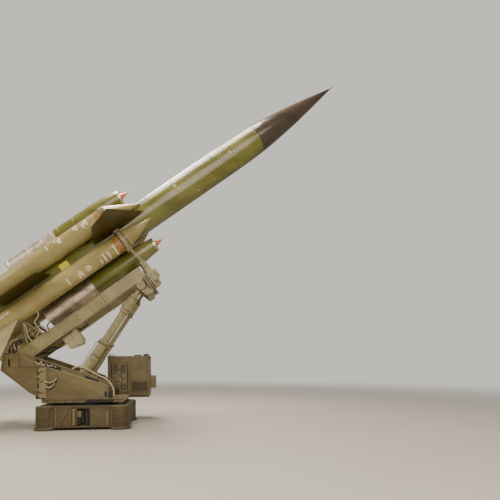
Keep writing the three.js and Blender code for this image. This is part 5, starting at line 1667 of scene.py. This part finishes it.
@dataclass
class Base:
    """Fixed base: panelled box, four round levelling housings, bays and the slewing ring."""

    top: float = 0.4
    half_x: float = 0.6
    half_y: float = 0.7
    bay: tuple[float, float] = (-0.083, 0.122)
    wide_x: float = 0.72
    wide_y: float = 0.56
    housing: tuple[float, float] = (0.6, 0.585)
    housing_r: float = 0.165
    panel_z: tuple[float, float] = (0.066, 0.376)
    teeth: int = 72

    def frame(self) -> None:
        """Builds the box with its rims, and the housings with their feet, caps and bolts."""
        (b0, b1), hx, hy, top = self.bay, self.half_x, self.half_y, self.top
        skins = [box(-hx, b0, -hy, hy, 0.04, top), box(b1, hx, -hy, hy, 0.04, top),
                 box(b0, b1, -0.6, 0.6, 0.04, top), box(b0, b1, -hy, hy, 0.36, top), box(b0, b1, -hy, hy, 0.04, 0.07),
                 box(-self.wide_x, self.wide_x, -self.wide_y, self.wide_y, 0.06, top)]
        for s in (-1, 1):
            y, end = s * hy, s * self.wide_x
            skins += slabs([(-hx, hx, top - 0.022, top), (-hx, hx, 0.042, 0.064)], y, y + s * 0.016)
            skins.append(bolts(grid(np.linspace(0.155, 0.36, 5), y + s * 0.004, (0.105, 0.335)), (0, s, 0), 0.007))
            skins += [box(end, end + s * 0.012, -0.4, 0.4, a, b) for a, b in ((top - 0.024, top), (0.062, 0.084))]
            skins += [box(end, end + s * 0.01, y0, y0 + 0.01, 0.084, top - 0.024) for y0 in (-0.2, 0.0, 0.2)]
        r = self.housing_r
        wall = [(0.001, 0.0), (0.001, 0.186), (0.006, 0.19), (0.034, 0.19), (0.04, 0.184), (0.044, r), (0.12, r),
                (0.124, r + 0.004), (0.134, r + 0.004), (0.138, r), (0.33, r), (0.334, r + 0.004), (0.346, r + 0.004),
                (0.35, r), (0.388, r), (0.395, r - 0.007), (0.395, 0.09), (0.402, 0.085), (0.402, 0.0)]
        cap = [(0.4, 0.0), (0.4, 0.034), (0.418, 0.034), (0.421, 0.03), (0.421, 0.0)]
        c, d = circle(10)
        for x, y in ((sx * self.housing[0], sy * self.housing[1]) for sx in (-1, 1) for sy in (-1, 1)):
            heads = np.column_stack([x + 0.125 * c, y + 0.125 * d, np.full(10, 0.395)])
            skins += [turned_upright(wall, x, y, 56), bolts(heads, (0, 0, 1), 0.009), turned_upright(cap, x, y, 6)]
        skins.append(turned_upright([(0.001, 0.0), (0.001, 0.205), (0.006, 0.21), (0.05, 0.21), (0.05, 0.0)], 0, 0,
                                    48))
        # The base in the darker copy of the khaki, as painted shade
        piece("base_fabricated", skins, PAINTS.khaki_dark, Body.BASE, ["base_frame"], bevel=0.0025)

    def bays(self) -> None:
        """Builds the dark parts inside both bays and black painted shadows beside them, the panels and trim round
        them, and black sheets of painted shade on the base's top.
        """
        (b0, b1), (z0, z1), top = self.bay, self.panel_z, self.top
        bay_parts_and_shadows, panels, trim = [], [], []
        for s in (-1, 1):
            y, y0, y1, mid = s * self.half_y, s * 0.601, s * 0.672, s * 0.64
            deep = y - s * 0.08
            hose = [(-0.085, s * 0.66, 0.15), (-0.095, s * 0.66, 0.26), (0.0, s * 0.67, 0.3), (0.02, s * 0.66, 0.22)]
            # The bay's back sheet, a strip beside the bracket and a line beside the diagonal rod are black painted
            # shadow
            bay_parts_and_shadows += [*slabs([(-0.085, -0.03, 0.09, 0.2), (0.05, 0.1, 0.09, 0.27)], y0, y1),
                     box(-0.02, 0.02, y0, y1 - s * 0.02, 0.11, 0.33),
                     rod((-0.058, mid, 0.2), (-0.058, mid, 0.34), 0.026, 24, 0.004),
                     swept(eased(hose, 0.03, 6), 0.007, 10), box(b0, b1, s * 0.6, s * 0.603, 0.07, 0.36),
                     box(-0.171, -0.155, y, y + s * 0.0055, z0, z1),
                     swept([(-0.355, y + s * 0.002, z0), (-0.208, y + s * 0.002, 0.36)], 0.007, 8)]
            panels += slabs([(-0.412, -0.165, z0, z1), (0.126, 0.436, z0, z1)], deep, y + s * 0.004)
            trim += [*slabs([(-0.432, -0.412, z0, z1), (-0.155, -0.118, 0.08, 0.352)], deep, y + s * 0.014),
                     box(-0.155, -0.09, deep, y + s * 0.01, 0.33, 0.352),
                     rod((0.405, y, 0.07), (0.405, y, 0.3), 0.026, 20, 0.004),
                     rod((-0.368, y + s * 0.006, z0), (-0.222, y + s * 0.006, 0.36), 0.009, 12),
                     box(-0.08, -0.018, s * 0.604, s * 0.69, 0.214, 0.316)]
        piece("base_bay_parts_and_shadows", bay_parts_and_shadows, PAINTS.black, Body.BASE, bevel=0.002)
        # Panels in the darker copy of the khaki, as painted shade
        piece("base_panels", panels, PAINTS.khaki_darker, Body.BASE, bevel=0.001)
        piece("base_trim", trim, PAINTS.khaki, Body.BASE, bevel=0.002)
        # Black sheets on the base's top: painted shade under the deck
        shade_sheets = [box(-x, x, -y, y, top - SUNK, top + lift)
                for x, y, lift in ((0.6, 0.69, 0.0015), (0.715, 0.555, 0.0013))]
        piece("base_top_shade_sheets", shade_sheets, PAINTS.black, Body.BASE)

    def ring(self) -> None:
        """Builds the slewing ring, a toothed rim between base and deck."""
        profile = [(0.4005, 0.0), (0.4005, 0.468), (0.406, 0.47), (0.434, 0.47), (0.4395, 0.466), (0.4395, 0.0)]
        c, s = circle(self.teeth)
        lows = np.column_stack([0.4705 * c, 0.4705 * s, np.full(self.teeth, 0.42)])
        teeth = studs(lows, np.column_stack([c, s, np.zeros(self.teeth)]), 0.01, 0.006)
        piece("slewing_ring_toothed", [turned_upright(profile, 0, 0, 96), teeth], PAINTS.black, Body.BASE,
              ["slewing_ring"])

    def build(self) -> None:
        """Builds the whole base."""
        self.frame()
        self.bays()
        self.ring()


@dataclass
class Studio:
    """Plain pale floor, soft lights and the camera at the photo's viewing angle."""

    eye: tuple[float, float, float] = (1.546, -8.569, 1.122)
    heading: float = 9.0
    focal: float = 450.0
    image: float = 500.0
    horizon: float = 363.0
    principal: float = 247.0
    air: str = "#e9e5dc"
    air_strength: float = 0.95
    fill: float = 0.33
    floor_half: float = 24.0
    sensor: float = 36.0
    # name, place, point looked at, size in metres, power in watts and colour
    lamps: Rows = (
        ("ceiling_softbox", (0.0, 0.0, 11.0), (0.0, 0.0, 2.0), 5.0, 1400.0, "#fff6e8"),
        ("back_softbox", (-1.0, 4.5, 11.0), (0.0, 0.0, 2.5), 3.0, 700.0, "#fff6e8"),
        ("front_softbox", (4.0, -11.0, 6.5), (0.5, 0.0, 2.5), 8.0, 1000.0, "#fff4e4"),
        ("left_softbox", (-9.0, -5.0, 7.0), (0.0, 0.0, 2.5), 4.0, 420.0, "#fdf5ea"))

    def floor(self) -> None:
        """Lays a large flat floor, faintly cloudy, that fades into the room's air between 7 and 22 m away."""
        material = bpy.data.materials.new("pale_studio_floor")
        graph = Graph(material)
        place = graph.add("TexCoord").outputs["Object"]
        tone = graph.mix(graph.noise(place, 0.6, 3.0), "#bfb9ae", "#b6b0a4")
        lit = graph.add("BsdfPrincipled", {"Base Color": tone, "Roughness": 0.6})
        seen = graph.add("LightPath").outputs["Is Camera Ray"]
        glow = graph.span(seen, 0.0, 1.0, self.air_strength, self.fill)
        room = graph.add("Emission", {"Color": linear(self.air), "Strength": glow})
        reach = graph.add("VectorMath", {0: place}, operation="LENGTH").outputs["Value"]
        fade = graph.add("MapRange", {"Value": reach, "From Min": 7.0, "From Max": 22.0},
                         interpolation_type="SMOOTHSTEP")
        graph.end(graph.add("MixShader", {0: fade.outputs[0], 1: lit.outputs[0], 2: room.outputs[0]}))
        mesh = bpy.data.meshes.new("floor")
        side = self.floor_half
        corners = [(-side, -side, 0.0), (side, -side, 0.0), (side, side, 0.0), (-side, side, 0.0)]
        mesh.from_pydata(corners, [], [(0, 1, 2, 3)])
        mesh.materials.append(material)
        floor = bpy.data.objects.new("floor", mesh)
        bpy.context.scene.collection.objects.link(floor)

    def sky(self) -> None:
        """Fills the room with even, slightly warm light; the far air looks paler than it shines."""
        world = bpy.data.worlds.new("studio")
        graph = Graph(world)
        seen = graph.add("LightPath").outputs["Is Camera Ray"]
        dim, pale = (graph.add("Background", {"Color": linear(self.air), "Strength": strength}).outputs[0]
                     for strength in (self.fill, self.air_strength))
        graph.end(graph.add("MixShader", {0: seen, 1: dim, 2: pale}), "OutputWorld")
        bpy.context.scene.world = world

    def lamp(self, name: str, place: tuple[float, float, float], aim: tuple[float, float, float], size: float,
             power: float, colour: str) -> None:
        """Hangs one square soft light that looks at a point."""
        data = bpy.data.lights.new(name, "AREA")
        data.size = size
        data.energy = power
        data.color = linear(colour)[:3]
        lamp = bpy.data.objects.new(name, data)
        lamp.location = place
        lamp.rotation_euler = (Vector(aim) - Vector(place)).to_track_quat("-Z", "Y").to_euler()
        bpy.context.scene.collection.objects.link(lamp)

    def camera(self) -> None:
        """Sets a level camera whose shift puts the horizon and the vanishing axis where the photo has them."""
        data = bpy.data.cameras.new("camera")
        data.sensor_width = self.sensor
        data.lens = self.focal / self.image * data.sensor_width
        data.shift_x = (self.image / 2 - self.principal) / self.image
        data.shift_y = (self.horizon - self.image / 2) / self.image
        data.clip_end = 200.0
        camera = bpy.data.objects.new("camera", data)
        camera.location = self.eye
        camera.rotation_euler = (math.radians(90.0), 0.0, -math.radians(self.heading))
        bpy.context.scene.collection.objects.link(camera)
        bpy.context.scene.camera = camera

    def build(self) -> None:
        """Builds the whole studio."""
        self.floor()
        self.sky()
        for lamp in self.lamps:
            self.lamp(*lamp)
        self.camera()


def main() -> None:
    """Builds the sub-assemblies in order, then the studio."""
    logging.basicConfig(level=logging.INFO, format="%(name)s %(message)s")
    for assembly in (Fuselage(), Surfaces(), Ramjets(), Boosters(), LaunchArm(), Struts(), Turntable(), Base()):
        log.info("building %s", type(assembly).__name__)
        assembly.build()
    Studio().build()


if __name__ == "__main__":
    main()
